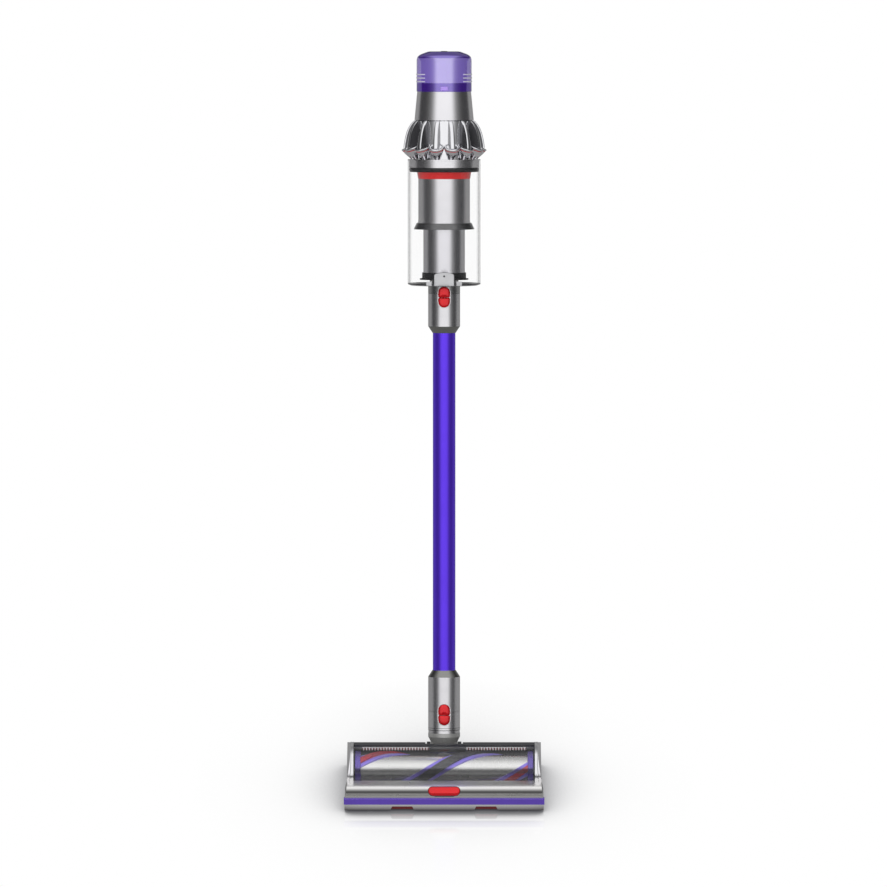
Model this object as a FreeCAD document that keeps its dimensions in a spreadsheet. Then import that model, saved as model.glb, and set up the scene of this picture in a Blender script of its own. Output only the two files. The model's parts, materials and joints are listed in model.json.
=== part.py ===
"""A cordless stick vacuum: floor head, wand, clear bin, cyclone pack, motor and handle.

Frame: millimetres, +Z up, the floor at Z = 0, -Y the side that the head's window faces.
The stick is drawn upright in its own frame, with its axis on Z and the neck pivot at the
origin, and is then leant back by lean_angle. The head is drawn over its roller.
"""
import FreeCAD, Part
import math
import os
import re
import Sketcher

Vector = FreeCAD.Vector
doc = FreeCAD.newDocument("stick_vacuum")

# ---------------------------------------------------------------- driving dimensions

SIZES = [
    # how the stick stands
    ("lean_angle", 27),
    ("roller_y", -293.2),
    ("pivot_back", 58),
    ("pivot_height", 35.6),
    # clearances
    ("seat_gap", 0.1),
    ("running_gap", 0.3),
    ("pin_gap", 0.05),
    ("sweep_gap", 1.5),
    # brush bar
    ("roller_height", 34),
    ("roller_end_gap", 2.5),
    ("roller_ring_radius", 33),
    ("roller_ring_width", 5),
    ("core_radius", 26.5),
    ("core_wall", 3),
    ("fin_reach", 2.5),
    ("nylon_reach", 6),
    ("carbon_reach", 6.2),
    ("helix_lead", 288),
    ("fin_width", 10),
    ("carbon_width", 24),
    ("nylon_width", 15),
    ("axle_radius", 4),
    ("brush_motor_radius", 19),
    ("brush_motor_length", 120),
    # head casing
    ("window_radius", 39),
    ("window_wall", 2),
    ("window_front_rise", 5),
    ("window_back_angle", 31.7),
    ("window_seat_angle", 1.5),
    ("chamber_radius", 37.5),
    ("chamber_wall", 2.5),
    ("ridge_y", 22),
    ("ridge_z", 70),
    ("shell_shoulder_y", 34),
    ("shell_shoulder_z", 67),
    ("shell_back_y", 76),
    ("shell_back_z", 42),
    ("shell_bottom_z", 6),
    ("shell_length", 290),
    ("end_cap_width", 10.5),
    ("end_cap_top_width", 4.5),
    ("fascia_overhang", 3),
    ("bumper_overhang", 1.5),
    ("sill_inset", 1),
    ("neck_notch_width", 60),
    ("neck_notch_floor", 15),
    ("yoke_base", 2.4),
    ("sole_low", 2.5),
    ("duct_radius", 13),
    # front bar of the head
    ("fascia_roll_radius", 14),
    ("fascia_front", 68.5),
    ("fascia_back", 40),
    ("fascia_top", 42),
    ("fascia_low", 27),
    ("fascia_wall", 2.5),
    ("bumper_front", 71),
    ("bumper_low", 15.5),
    ("sill_front", 69),
    ("sill_low", 3.5),
    ("sill_back", 44),
    ("gate_spacing", 134),
    ("gate_width", 40),
    ("gate_slant", 4),
    ("gate_height", 8),
    ("gate_thickness", 3),
    ("gate_travel", 9),
    ("gate_wall", 3),
    ("gate_floor", 1.2),
    ("slider_length", 51),
    ("slider_height", 15),
    ("slider_proud", 2),
    ("slider_tilt", 45),
    ("slider_stem_width", 12),
    ("slider_stem_height", 4),
    ("slider_stem_root", 2),
    ("beam_front", 50),
    ("carbon_front_x", -43.6),
    # comb
    ("comb_pitch", 4.6),
    ("comb_tooth", 2.4),
    ("comb_tooth_length", 6),
    ("comb_root_y", 21),
    ("comb_gap", 1.2),
    ("comb_tip", 1.5),
    ("comb_bar_depth", 4),
    ("comb_end_gap", 11),
    # wheels
    ("rear_wheel_radius", 9),
    ("rear_wheel_width", 9),
    ("rear_wheel_x", 52),
    ("rear_wheel_y", 63),
    ("front_wheel_radius", 5),
    ("front_wheel_width", 6),
    ("front_wheel_x", 118),
    ("front_wheel_y", -58),
    ("wheel_axle_radius", 1.2),
    # neck
    ("barrel_radius", 16),
    ("barrel_width", 43),
    ("ear_thickness", 6),
    ("ear_radius", 16),
    ("neck_pin_radius", 4),
    ("knuckle_low", 10),
    ("knuckle_low_radius", 19),
    ("knuckle_length", 20.3),
    ("knuckle_waist", 6),
    ("knuckle_waist_radius", 21.4),
    ("swivel_ring_length", 5),
    ("airway_radius", 14),
    # wand and its two quick-release joints
    ("collar_radius", 25.6),
    ("cuff_length", 30.3),
    ("lower_collar_length", 55.2),
    ("upper_collar_length", 52),
    ("collar_taper", 10.7),
    ("collar_lip_radius", 18.6),
    ("wand_radius", 17.4),
    ("wand_wall", 2),
    ("wand_bare_length", 541.7),
    ("spigot_radius", 20),
    ("spigot_length", 25),
    ("seam_gap", 0.4),
    ("button_width", 20),
    ("button_below", 16),
    ("button_above", 18),
    ("button_root", 24.6),
    ("button_face", 27),
    ("button_gap", 0.5),
    ("button_sweep", 4),
    ("button_seat", 2.5),
    ("button_drop", 5.5),
    # bin
    ("inlet_collar_length", 13.4),
    ("inlet_stub_radius", 23),
    ("inlet_stub_length", 14),
    ("base_radius", 58.2),
    ("base_thickness", 4),
    ("base_lip", 5),
    ("bin_wall_thickness", 2),
    ("lug_width", 30),
    ("lug_height", 20),
    ("lug_depth", 5),
    ("lug_knuckle_width", 16),
    ("hinge_pin_radius", 1.5),
    # dirt separator
    ("duct_seal_radius", 35.2),
    ("duct_seal_height", 9.2),
    ("duct_flange_radius", 39),
    ("duct_flange_height", 2),
    ("duct_foot", 5.2),
    ("inner_tube_radius", 33.3),
    ("inner_tube_length", 69.4),
    ("shell_wall", 2),
    ("skirt_height", 9.9),
    ("skirt_top_radius", 44),
    ("skirt_radius", 48.6),
    ("shroud_radius", 41.3),
    ("shroud_band_height", 3.4),
    ("shroud_length", 67.7),
    ("collar_band_height", 10.9),
    ("collar_band_radius", 43.5),
    ("bin_seal_height", 7.1),
    ("bin_seal_radius", 54.8),
    ("seat_ring_height", 12.9),
    ("seat_rim_height", 1.6),
    # cyclones
    ("cyclone_count", 14),
    ("cyclone_core_step", 2.4),
    ("cyclone_height", 62.9),
    ("cyclone_tilt", 24),
    ("cyclone_ring_step", 8.6),
    ("cyclone_rise", 19.5),
    ("lip_radius", 12.9),
    ("lip_height", 2.5),
    ("cone_top_radius", 10),
    ("cone_tip_radius", 5),
    ("facet_count", 10),
    ("finger_sleeve", 1.5),
    ("finger_foot_width", 9),
    ("finger_head_width", 8),
    ("finger_side_angle", 1),
    ("finger_lip_reach", 9),
    ("finger_bulge_reach", 6.5),
    ("finger_bulge_rise", 16),
    ("finger_bulge_step", 4),
    ("finger_bulge_drop", 26),
    # motor and filter
    ("housing_low_radius", 47.4),
    ("housing_top_radius", 43.1),
    ("housing_height", 45.6),
    ("housing_wall", 2.5),
    ("motor_radius", 32),
    ("motor_wall", 2),
    ("impeller_radius", 27),
    ("impeller_height", 12),
    ("impeller_blades", 9),
    ("blade_thickness", 1.2),
    ("shaft_radius", 2.5),
    ("stator_height", 16),
    ("filter_radius", 44),
    ("filter_wall", 2.2),
    ("filter_height", 64),
    ("filter_dome", 6),
    ("filter_band", 13.7),
    ("rib_proud", 0.8),
    ("rib_height", 1.6),
    ("rib_pitch", 5.7),
    ("rib_rise", 2.3),
    ("rib_arc", 92),
    ("rib_rows", 3),
    ("catch_width", 12),
    ("catch_height", 6),
    ("catch_rise", 2),
    ("catch_proud", 0.8),
    ("media_outer_radius", 40.5),
    ("media_inner_radius", 31),
    ("media_height", 39),
    ("pod_radius", 25.5),
    ("glass_radius", 23.5),
    ("glass_thickness", 2),
    ("mode_button_radius", 5),
    ("mode_button_offset", 14),
    ("mode_button_proud", 0.4),
    # handle and battery
    ("bridge_width", 30),
    ("bridge_depth", 32),
    ("bridge_bevel", 5),
    ("grip_front", 95),
    ("grip_depth", 44),
    ("grip_slant", 6),
    ("grip_width", 33),
    ("grip_rounding", 11),
    ("foot_height", 17),
    ("foot_front", 60),
    ("foot_back", 152),
    ("foot_width", 40),
    ("foot_rounding", 8),
    ("foot_bevel", 2),
    ("battery_front", 70),
    ("battery_back", 152),
    ("battery_width", 60),
    ("battery_height", 84),
    ("battery_rounding", 9),
    ("battery_bevel", 4),
    ("charge_socket_radius", 3.5),
    ("charge_socket_depth", 9),
    ("charge_socket_drop", 60),
    ("latch_width", 18),
    ("latch_height", 9),
    ("latch_thickness", 5),
    ("latch_travel", 2),
    ("trigger_width", 13),
    ("trigger_height", 27),
    ("trigger_front", 84),
    ("trigger_slot_depth", 11),
    ("trigger_pin_radius", 1.5),
    ("lever_width", 22),
    ("lever_height", 34),
    ("lever_thickness", 6),
    ("lever_front", 61),
]

# Places along the stick's axis, each worked out from the one before it.
PLACES = [
    ("pivot_y", "roller_y + pivot_back"),
    ("roller_length", "shell_length - 2 * roller_end_gap"),
    ("fascia_length", "shell_length + 2 * end_cap_width + 2 * fascia_overhang"),
    ("bumper_length", "fascia_length + 2 * bumper_overhang"),
    ("sill_length", "bumper_length - 2 * sill_inset"),
    ("comb_count", "floor((shell_length - 2 * comb_end_gap) / comb_pitch)"),
    ("ring_low", "knuckle_low + knuckle_length"),
    ("cuff_low", "ring_low + swivel_ring_length"),
    ("cuff_top", "cuff_low + cuff_length"),
    ("lower_taper", "cuff_top + lower_collar_length"),
    ("tube_low", "lower_taper + collar_taper"),
    ("tube_top", "tube_low + wand_bare_length"),
    ("upper_taper", "tube_top + collar_taper"),
    ("wand_top", "upper_taper + upper_collar_length"),
    ("base_low", "wand_top + inlet_collar_length"),
    ("base_top", "base_low + base_thickness"),
    ("bin_radius", "base_radius"),
    ("foot_low", "base_top + duct_foot"),
    ("seal_low", "foot_low + duct_flange_height + seat_gap"),
    ("inner_tube_low", "seal_low + duct_seal_height + seat_gap"),
    ("inner_tube_top", "inner_tube_low + inner_tube_length"),
    ("skirt_top", "inner_tube_top + skirt_height"),
    ("shroud_low", "skirt_top + shroud_band_height"),
    ("shroud_top", "shroud_low + shroud_length"),
    ("band_top", "shroud_top + collar_band_height"),
    ("bin_seal_top", "band_top + bin_seal_height"),
    ("seat_top", "bin_seal_top + seat_ring_height"),
    ("bin_top", "seat_top - seat_rim_height - seat_gap"),
    ("cyclone_top", "seat_top + cyclone_height"),
    ("cyclone_core_radius", "housing_low_radius - cyclone_core_step"),
    ("cyclone_ring_radius", "housing_low_radius + cyclone_ring_step"),
    ("finger_lip_radius", "cyclone_ring_radius + finger_lip_reach"),
    ("finger_bulge_radius", "cyclone_ring_radius + finger_bulge_reach"),
    ("cyclone_mid", "seat_top + cyclone_rise"),
    ("cone_fall", "cyclone_rise - seat_gap - cone_tip_radius * sin(cyclone_tilt)"),
    ("cone_length", "cone_fall / cos(cyclone_tilt) - lip_height - seat_gap"),
    ("housing_top", "cyclone_top + housing_height"),
    ("filter_top", "housing_top + filter_height"),
    ("lower_rocker", "cuff_top - button_drop"),
    ("upper_rocker", "wand_top - button_drop"),
    ("foot_top", "seat_top + seat_gap"),
    ("battery_top", "seat_top - foot_height"),
    ("end_cap_x", "shell_length / 2"),
    ("strip_group", "carbon_width + 2 * fin_width + 2 * seam_gap"),
]


def fill_sheet(name, rows, prefix=""):
    sheet = doc.addObject("Spreadsheet::Sheet", name)
    for row, (alias, content) in enumerate(rows, start=1):
        sheet.set(f"A{row}", prefix + str(content))
        sheet.setAlias(f"A{row}", alias)
    doc.recompute()
    return sheet


SHEET_OF = {name: "sizes" for name, _ in SIZES}
SHEET_OF.update({name: "places" for name, _ in PLACES})


def bound(text):
    """The expression with each dimension's name led back to the sheet that holds it."""
    def lead(match):
        word = match.group(0)
        return f"{SHEET_OF[word]}.{word}" if word in SHEET_OF else word
    return re.sub(r"[a-z][a-z_]*[a-z]", lead, text)


sizes = fill_sheet("sizes", SIZES)
places = fill_sheet(
    "places",
    [(name, bound(text).replace("places.", "")) for name, text in PLACES],
    prefix="=",
)


def value(text):
    return float(places.evalExpression(bound(text)))


# ---------------------------------------------------------------- frames

# Each frame: Y and Z of its origin, and its turn about X.
FRAMES = {
    "stick": ("pivot_y", "pivot_height", "-lean_angle"),
    "head": ("roller_y", "0", "0"),
    "roller": ("roller_y", "roller_height", "0"),
}


def put(item, frame):
    y, z, turn = FRAMES[frame]
    item.Placement = FreeCAD.Placement(
        Vector(0, value(y), value(z)), FreeCAD.Rotation(Vector(1, 0, 0), value(turn))
    )
    item.setExpression("Placement.Base.y", bound(y))
    if z != "0":
        item.setExpression("Placement.Base.z", bound(z))
    if turn != "0":
        item.setExpression("Placement.Rotation.Angle", bound(turn))


# ---------------------------------------------------------------- sketches and features

parts = []


def body(label, frame):
    item = doc.addObject("PartDesign::Body", label)
    item.Label = label
    put(item, frame)
    parts.append(item)
    return item


def sketch(owner, role, offset="0"):
    item = owner.newObject("Sketcher::SketchObject", owner.Name + "_sketch")
    plane = next(f for f in owner.Origin.OriginFeatures if f.Role == role)
    item.AttachmentSupport = [(plane, "")]
    item.MapMode = "FlatFace"
    if offset != "0":
        item.setExpression("AttachmentOffset.Base.z", bound(offset))
    return item


def arc_edge(start, end, radius, side):
    """An arc of the given radius from start to end, with its centre left (1) or right (-1)."""
    chord = end - start
    half = chord.Length / 2
    rise = math.sqrt(max(radius * radius - half * half, 0.0))
    left = Vector(-chord.y, chord.x, 0).normalize()
    centre = start + chord * 0.5 + left * (rise * side)
    circle = Part.Circle(centre, Vector(0, 0, 1), radius)
    first, last = (start, end) if side > 0 else (end, start)
    angles = [math.atan2((p - centre).y, (p - centre).x) for p in (first, last)]
    if angles[1] <= angles[0]:
        angles[1] += 2 * math.pi
    return Part.ArcOfCircle(circle, angles[0], angles[1])


def outline(item, points):
    """A closed outline: points are (x, y), or (x, y, radius, side) where an arc sets off."""
    base = item.GeometryCount
    spots = [Vector(value(p[0]), value(p[1]), 0) for p in points]
    count = len(points)
    starts = []
    for i, point in enumerate(points):
        start, end = spots[i], spots[(i + 1) % count]
        if len(point) == 2:
            item.addGeometry(Part.LineSegment(start, end), False)
            starts.append(1)
        else:
            item.addGeometry(arc_edge(start, end, value(point[2]), point[3]), False)
            starts.append(1 if point[3] > 0 else 2)
    for i, point in enumerate(points):
        after = (i + 1) % count
        item.addConstraint(
            Sketcher.Constraint("Coincident", base + i, 3 - starts[i], base + after, starts[after])
        )
    for i, point in enumerate(points):
        for kind, text, number in (
            ("DistanceX", point[0], spots[i].x),
            ("DistanceY", point[1], spots[i].y),
        ):
            if text == "0":
                axis = -2 if kind == "DistanceX" else -1
                item.addConstraint(
                    Sketcher.Constraint("PointOnObject", base + i, starts[i], axis)
                )
                continue
            index = item.addConstraint(
                Sketcher.Constraint(kind, -1, 1, base + i, starts[i], number)
            )
            item.setExpression(f"Constraints[{index}]", bound(text))
        if len(point) == 4:
            index = item.addConstraint(
                Sketcher.Constraint("Radius", base + i, value(point[2]))
            )
            item.setExpression(f"Constraints[{index}]", bound(point[2]))


def ring(item, x, y, radius):
    base = item.GeometryCount
    centre = Vector(value(x), value(y), 0)
    item.addGeometry(Part.Circle(centre, Vector(0, 0, 1), value(radius)), False)
    for kind, text, number, axis in (
        ("DistanceX", x, centre.x, -2),
        ("DistanceY", y, centre.y, -1),
    ):
        if text == "0":
            item.addConstraint(Sketcher.Constraint("PointOnObject", base, 3, axis))
        else:
            index = item.addConstraint(Sketcher.Constraint(kind, -1, 1, base, 3, number))
            item.setExpression(f"Constraints[{index}]", bound(text))
    index = item.addConstraint(Sketcher.Constraint("Radius", base, value(radius)))
    item.setExpression(f"Constraints[{index}]", bound(radius))


def capsule(item, centre, low, high, width, upright=True):
    """A round-ended outline, centred on x = centre when upright, else on y = centre."""
    base = item.GeometryCount
    radius = value(f"({width}) / 2")
    middle = value(centre)
    ends = [value(f"{low} + ({width}) / 2"), value(f"{high} - ({width}) / 2")]

    def spot(across, along):
        return Vector(across, along, 0) if upright else Vector(-along, across, 0)

    for along, turn in zip(ends, (math.pi, 0)):
        circle = Part.Circle(spot(middle, along), Vector(0, 0, 1), radius)
        turn += 0 if upright else math.pi / 2
        item.addGeometry(Part.ArcOfCircle(circle, turn, turn + math.pi), False)
    item.addGeometry(
        Part.LineSegment(spot(middle + radius, ends[0]), spot(middle + radius, ends[1])), False)
    item.addGeometry(
        Part.LineSegment(spot(middle - radius, ends[1]), spot(middle - radius, ends[0])), False)
    for first, second in ((0, 2), (2, 1), (1, 3), (3, 0)):
        item.addConstraint(Sketcher.Constraint("Tangent", base + first, 2, base + second, 1))
    item.addConstraint(Sketcher.Constraint("Equal", base, base + 1))
    index = item.addConstraint(Sketcher.Constraint("Radius", base, radius))
    item.setExpression(f"Constraints[{index}]", bound(f"({width}) / 2"))
    for edge, along in ((0, f"{low} + ({width}) / 2"), (1, f"{high} - ({width}) / 2")):
        across_kind, along_kind = "DistanceX", "DistanceY"
        along_text = along
        if not upright:
            across_kind, along_kind = along_kind, across_kind
            along_text = f"-({along})"
        for kind, text in ((across_kind, centre), (along_kind, along_text)):
            if text == "0":
                axis = -2 if kind == "DistanceX" else -1
                item.addConstraint(Sketcher.Constraint("PointOnObject", base + edge, 3, axis))
                continue
            index = item.addConstraint(
                Sketcher.Constraint(kind, -1, 1, base + edge, 3, value(text)))
            item.setExpression(f"Constraints[{index}]", bound(text))


def box_outline(item, low_x, high_x, low_y, high_y):
    outline(item, [(low_x, low_y), (high_x, low_y), (high_x, high_y), (low_x, high_y)])


def feature(owner, kind, profile, **settings):
    item = owner.newObject("PartDesign::" + kind, f"{owner.Name}_{kind.lower()}")
    item.Profile = profile
    for name, setting in settings.items():
        if isinstance(setting, str) and name in ("Length", "Angle"):
            item.setExpression(name, bound(setting))
        else:
            setattr(item, name, setting)
    doc.recompute()
    return item


def turned(label, frame, points, axis="V_Axis"):
    """A body of revolution; its profile is in (radius, height) about the frame's Z axis."""
    owner = body(label, frame)
    profile = sketch(owner, "XZ_Plane")
    outline(profile, points)
    feature(owner, "Revolution", profile, ReferenceAxis=(profile, [axis]), Angle=360)
    return owner


def turned_about_x(label, frame, points):
    """A body of revolution about the frame's X axis; its profile is in (x, radius)."""
    return turned(label, frame, points, axis="H_Axis")


def extruded(label, frame, points, length, offset=None):
    """A side profile in (y, z) drawn out along X, about the middle or from an offset."""
    owner = body(label, frame)
    profile = sketch(owner, "YZ_Plane", offset or "0")
    outline(profile, points)
    side = "One side" if offset else "Symmetric"
    feature(owner, "Pad", profile, Length=length, SideType=side)
    return owner


def cut_along(owner, role, draw, length, offset="0", **settings):
    profile = sketch(owner, role, offset)
    draw(profile)
    before = owner.Shape.Volume
    item = feature(owner, "Pocket", profile, Length=length, **settings)
    if owner.Shape.Volume > before - 1e-3:
        raise RuntimeError(f"a cut in {owner.Label} removed nothing")
    return item


def add_along(owner, role, draw, length, offset="0", **settings):
    profile = sketch(owner, role, offset)
    draw(profile)
    return feature(owner, "Pad", profile, Length=length, **settings)


def groove(owner, points, axis="V_Axis"):
    profile = sketch(owner, "XZ_Plane")
    outline(profile, points)
    before = owner.Shape.Volume
    item = feature(owner, "Groove", profile, ReferenceAxis=(profile, [axis]), Angle=360)
    if owner.Shape.Volume > before - 1e-3:
        raise RuntimeError(f"a groove in {owner.Label} removed nothing")
    return item


def spread(owner, features, count, role="Z_Axis"):
    """Repeats features evenly round the frame's axis."""
    item = owner.newObject("PartDesign::PolarPattern", owner.Name + "_pattern")
    item.Originals = features
    axis = next(f for f in owner.Origin.OriginFeatures if f.Role == role)
    item.Axis = (axis, [""])
    item.Angle = 360
    item.setExpression("Occurrences", bound(count))
    owner.Tip = item
    doc.recompute()
    return item


def dress(owner, kind, field, size, wanted):
    tip = owner.Tip
    names = [f"Edge{i + 1}" for i, edge in enumerate(tip.Shape.Edges) if wanted(edge)]
    item = owner.newObject("PartDesign::" + kind, f"{owner.Name}_{kind.lower()}")
    item.Base = (tip, names)
    item.setExpression(field, bound(size))
    doc.recompute()
    return item


def rounded(owner, radius, wanted):
    """Rounds the edges of the body's last feature that the wanted test picks."""
    return dress(owner, "Fillet", "Radius", radius, wanted)


def bevelled(owner, size, wanted):
    """Chamfers the edges of the body's last feature that the wanted test picks."""
    return dress(owner, "Chamfer", "Size", size, wanted)


def straight_along(letter):
    """A test for straight edges that run along one axis of the body's own frame."""
    def test(edge):
        if not isinstance(edge.Curve, Part.Line):
            return False
        return abs(getattr(edge.Curve.Direction, letter)) > 0.999
    return test


# ---------------------------------------------------------------- neck

def tube(label, frame, low, high, outer, inner):
    return turned(label, frame, [(inner, low), (outer, low), (outer, high), (inner, high)])


def neck_knuckle():
    """A hollow cup that turns on the cuff, ending in a barrel that lies in the yoke."""
    owner = turned("neck_knuckle", "stick", [
        ("airway_radius", "knuckle_low"),
        ("knuckle_low_radius", "knuckle_low"),
        ("knuckle_waist_radius", "knuckle_low + knuckle_waist"),
        ("collar_radius", "ring_low - knuckle_waist"),
        ("collar_radius", "ring_low"),
        ("airway_radius", "ring_low"),
    ])
    add_along(owner, "YZ_Plane", lambda s: ring(s, "0", "0", "barrel_radius"),
              "barrel_width", SideType="Symmetric")
    cut_along(owner, "YZ_Plane", lambda s: ring(s, "0", "0", "neck_pin_radius + pin_gap"),
              "barrel_width + seam_gap", SideType="Symmetric")
    cut_along(owner, "XY_Plane", lambda s: ring(s, "0", "0", "duct_radius"),
              "ring_low", Reversed=True)
    return owner


def swivel_ring():
    tube("swivel_ring", "stick", "ring_low + seat_gap", "cuff_low - seam_gap",
         "collar_radius - seam_gap", "airway_radius")


# ---------------------------------------------------------------- quick-release joints

def rocker(label, centre):
    """A button that rocks on a cross pin: pressing its foot lifts its hook off the catch."""
    owner = turned(label, "stick", [
        ("button_root", f"{centre} - button_below"),
        ("button_face", f"{centre} - button_below"),
        ("button_face", f"{centre} + button_above"),
        ("button_root", f"{centre} + button_above"),
    ])

    def around(profile):
        wide = "(collar_radius + button_face)"
        box_outline(profile, f"-({wide})", wide,
                    f"{centre} - {wide}", f"{centre} + {wide}")
        capsule(profile, "0", f"{centre} - button_below", f"{centre} + button_above",
                "button_width")

    cut_along(owner, "XZ_Plane", around, "2 * collar_radius + 2 * button_face",
              SideType="Symmetric")
    cut_along(owner, "XZ_Plane",
              lambda s: box_outline(s, "-button_width", "button_width",
                                    f"{centre} - 2 * button_width",
                                    f"{centre} + 2 * button_width"),
              "button_face + collar_radius")
    return owner


def rocker_pocket(owner, centre, floor):
    cut_along(owner, "XZ_Plane",
              lambda s: capsule(s, "0", f"{centre} - button_below - button_gap",
                                f"{centre} + button_above + button_gap",
                                "button_width + 2 * button_gap"),
              "collar_radius", offset=floor, Reversed=True)


def cuff():
    """The head's upper sleeve; its spigot goes up into the wand."""
    owner = turned("cuff_sleeve", "stick", [
        ("airway_radius", "cuff_low"),
        ("collar_radius", "cuff_low"),
        ("collar_radius", "cuff_top"),
        ("spigot_radius", "cuff_top"),
        ("spigot_radius", "cuff_top + spigot_length"),
        ("airway_radius", "cuff_top + spigot_length"),
    ])
    rocker_pocket(owner, "lower_rocker", "button_root - button_sweep")


def wand():
    tube("wand_tube", "stick", "cuff_top + spigot_length + sweep_gap",
         "wand_top - seam_gap", "wand_radius", "wand_radius - wand_wall")
    lower = turned("wand_lower_collar", "stick", [
        ("spigot_radius + running_gap", "cuff_top + seam_gap"),
        ("collar_radius", "cuff_top + seam_gap"),
        ("collar_radius", "lower_taper"),
        ("collar_lip_radius", "tube_low"),
        ("wand_radius + seat_gap", "tube_low"),
        ("wand_radius + seat_gap", "cuff_top + spigot_length + sweep_gap"),
        ("spigot_radius + running_gap", "cuff_top + spigot_length + sweep_gap"),
    ])
    rocker_pocket(lower, "lower_rocker", "button_root - button_seat")
    upper = turned("wand_upper_collar", "stick", [
        ("wand_radius + seat_gap", "tube_top"),
        ("collar_lip_radius", "tube_top"),
        ("collar_radius", "upper_taper"),
        ("collar_radius", "wand_top"),
        ("spigot_radius", "wand_top"),
        ("spigot_radius", "wand_top + spigot_length"),
        ("airway_radius + seam_gap", "wand_top + spigot_length"),
        ("airway_radius + seam_gap", "wand_top"),
        ("wand_radius + seat_gap", "wand_top"),
    ])
    rocker_pocket(upper, "upper_rocker", "button_root - button_sweep")


# ---------------------------------------------------------------- bin

def inlet():
    owner = turned("inlet_collar", "stick", [
        ("spigot_radius + running_gap", "wand_top + seam_gap"),
        ("collar_radius", "wand_top + seam_gap"),
        ("collar_radius", "base_low - seat_gap"),
        ("inlet_stub_radius", "base_low - seat_gap"),
        ("inlet_stub_radius", "base_top + inlet_stub_length"),
        ("airway_radius + seam_gap", "base_top + inlet_stub_length"),
        ("airway_radius + seam_gap", "wand_top + spigot_length + sweep_gap"),
        ("spigot_radius + running_gap", "wand_top + spigot_length + sweep_gap"),
    ])
    rocker_pocket(owner, "upper_rocker", "button_root - button_seat")


def bin_base():
    """The flap that closes the bin: a dished plate with a knuckle for its hinge."""
    owner = turned("bin_base", "stick", [
        ("inlet_stub_radius + seat_gap", "base_low"),
        ("base_radius - base_lip", "base_low"),
        ("base_radius", "base_low + base_thickness / 2"),
        ("base_radius", "base_top - seam_gap"),
        ("base_radius - base_lip", "base_top - seam_gap"),
        ("base_radius - 2 * base_lip", "base_low + base_thickness / 2"),
        ("inlet_stub_radius + seat_gap", "base_low + base_thickness / 2"),
    ])
    cut_along(owner, "YZ_Plane",
              lambda s: box_outline(s, "-2 * base_radius", "-base_radius + bin_wall_thickness",
                                    "base_low - base_thickness", "base_top"),
              "lug_width + 2 * button_gap", SideType="Symmetric")
    add_along(owner, "YZ_Plane",
              lambda s: box_outline(s, "-base_radius - lug_depth + pin_gap", "-base_radius + 2 * lug_depth",
                                    "base_low + pin_gap", "base_top - seam_gap"),
              "lug_knuckle_width - 2 * running_gap", SideType="Symmetric")
    cut_along(owner, "YZ_Plane", lambda s: hinge_ring(s, "hinge_pin_radius + pin_gap"),
              "lug_width", SideType="Symmetric")


def hinge_ring(profile, radius):
    ring(profile, "-base_radius - lug_depth / 2", "base_low + base_thickness / 2", radius)


def bin_shell():
    """The clear cylinder, with a hinge lug moulded on its front."""
    owner = tube("bin_wall", "stick", "base_top", "bin_top",
                 "bin_radius", "bin_radius - bin_wall_thickness")
    add_along(owner, "YZ_Plane",
              lambda s: box_outline(s, "-bin_radius - lug_depth",
                                    "-bin_radius + bin_wall_thickness",
                                    "base_low", "base_top + lug_height"),
              "lug_width", SideType="Symmetric")
    cut_along(owner, "YZ_Plane",
              lambda s: box_outline(s, "-bin_radius - 2 * lug_depth", "0",
                                    "base_low - lug_depth", "base_top + sweep_gap"),
              "lug_knuckle_width", SideType="Symmetric")
    groove(owner, [
        ("0", "base_low - lug_depth"),
        ("bin_radius + running_gap", "base_low - lug_depth"),
        ("bin_radius + running_gap", "base_top"),
        ("bin_radius - bin_wall_thickness", "base_top"),
        ("bin_radius - bin_wall_thickness", "bin_top"),
        ("0", "bin_top"),
    ])
    cut_along(owner, "YZ_Plane", lambda s: hinge_ring(s, "hinge_pin_radius + pin_gap"),
              "2 * lug_width", SideType="Symmetric")
    pin = body("bin_hinge_pin", "stick")
    add_along(pin, "YZ_Plane", lambda s: hinge_ring(s, "hinge_pin_radius"),
              "lug_width", SideType="Symmetric")


# ---------------------------------------------------------------- dirt separator

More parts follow.
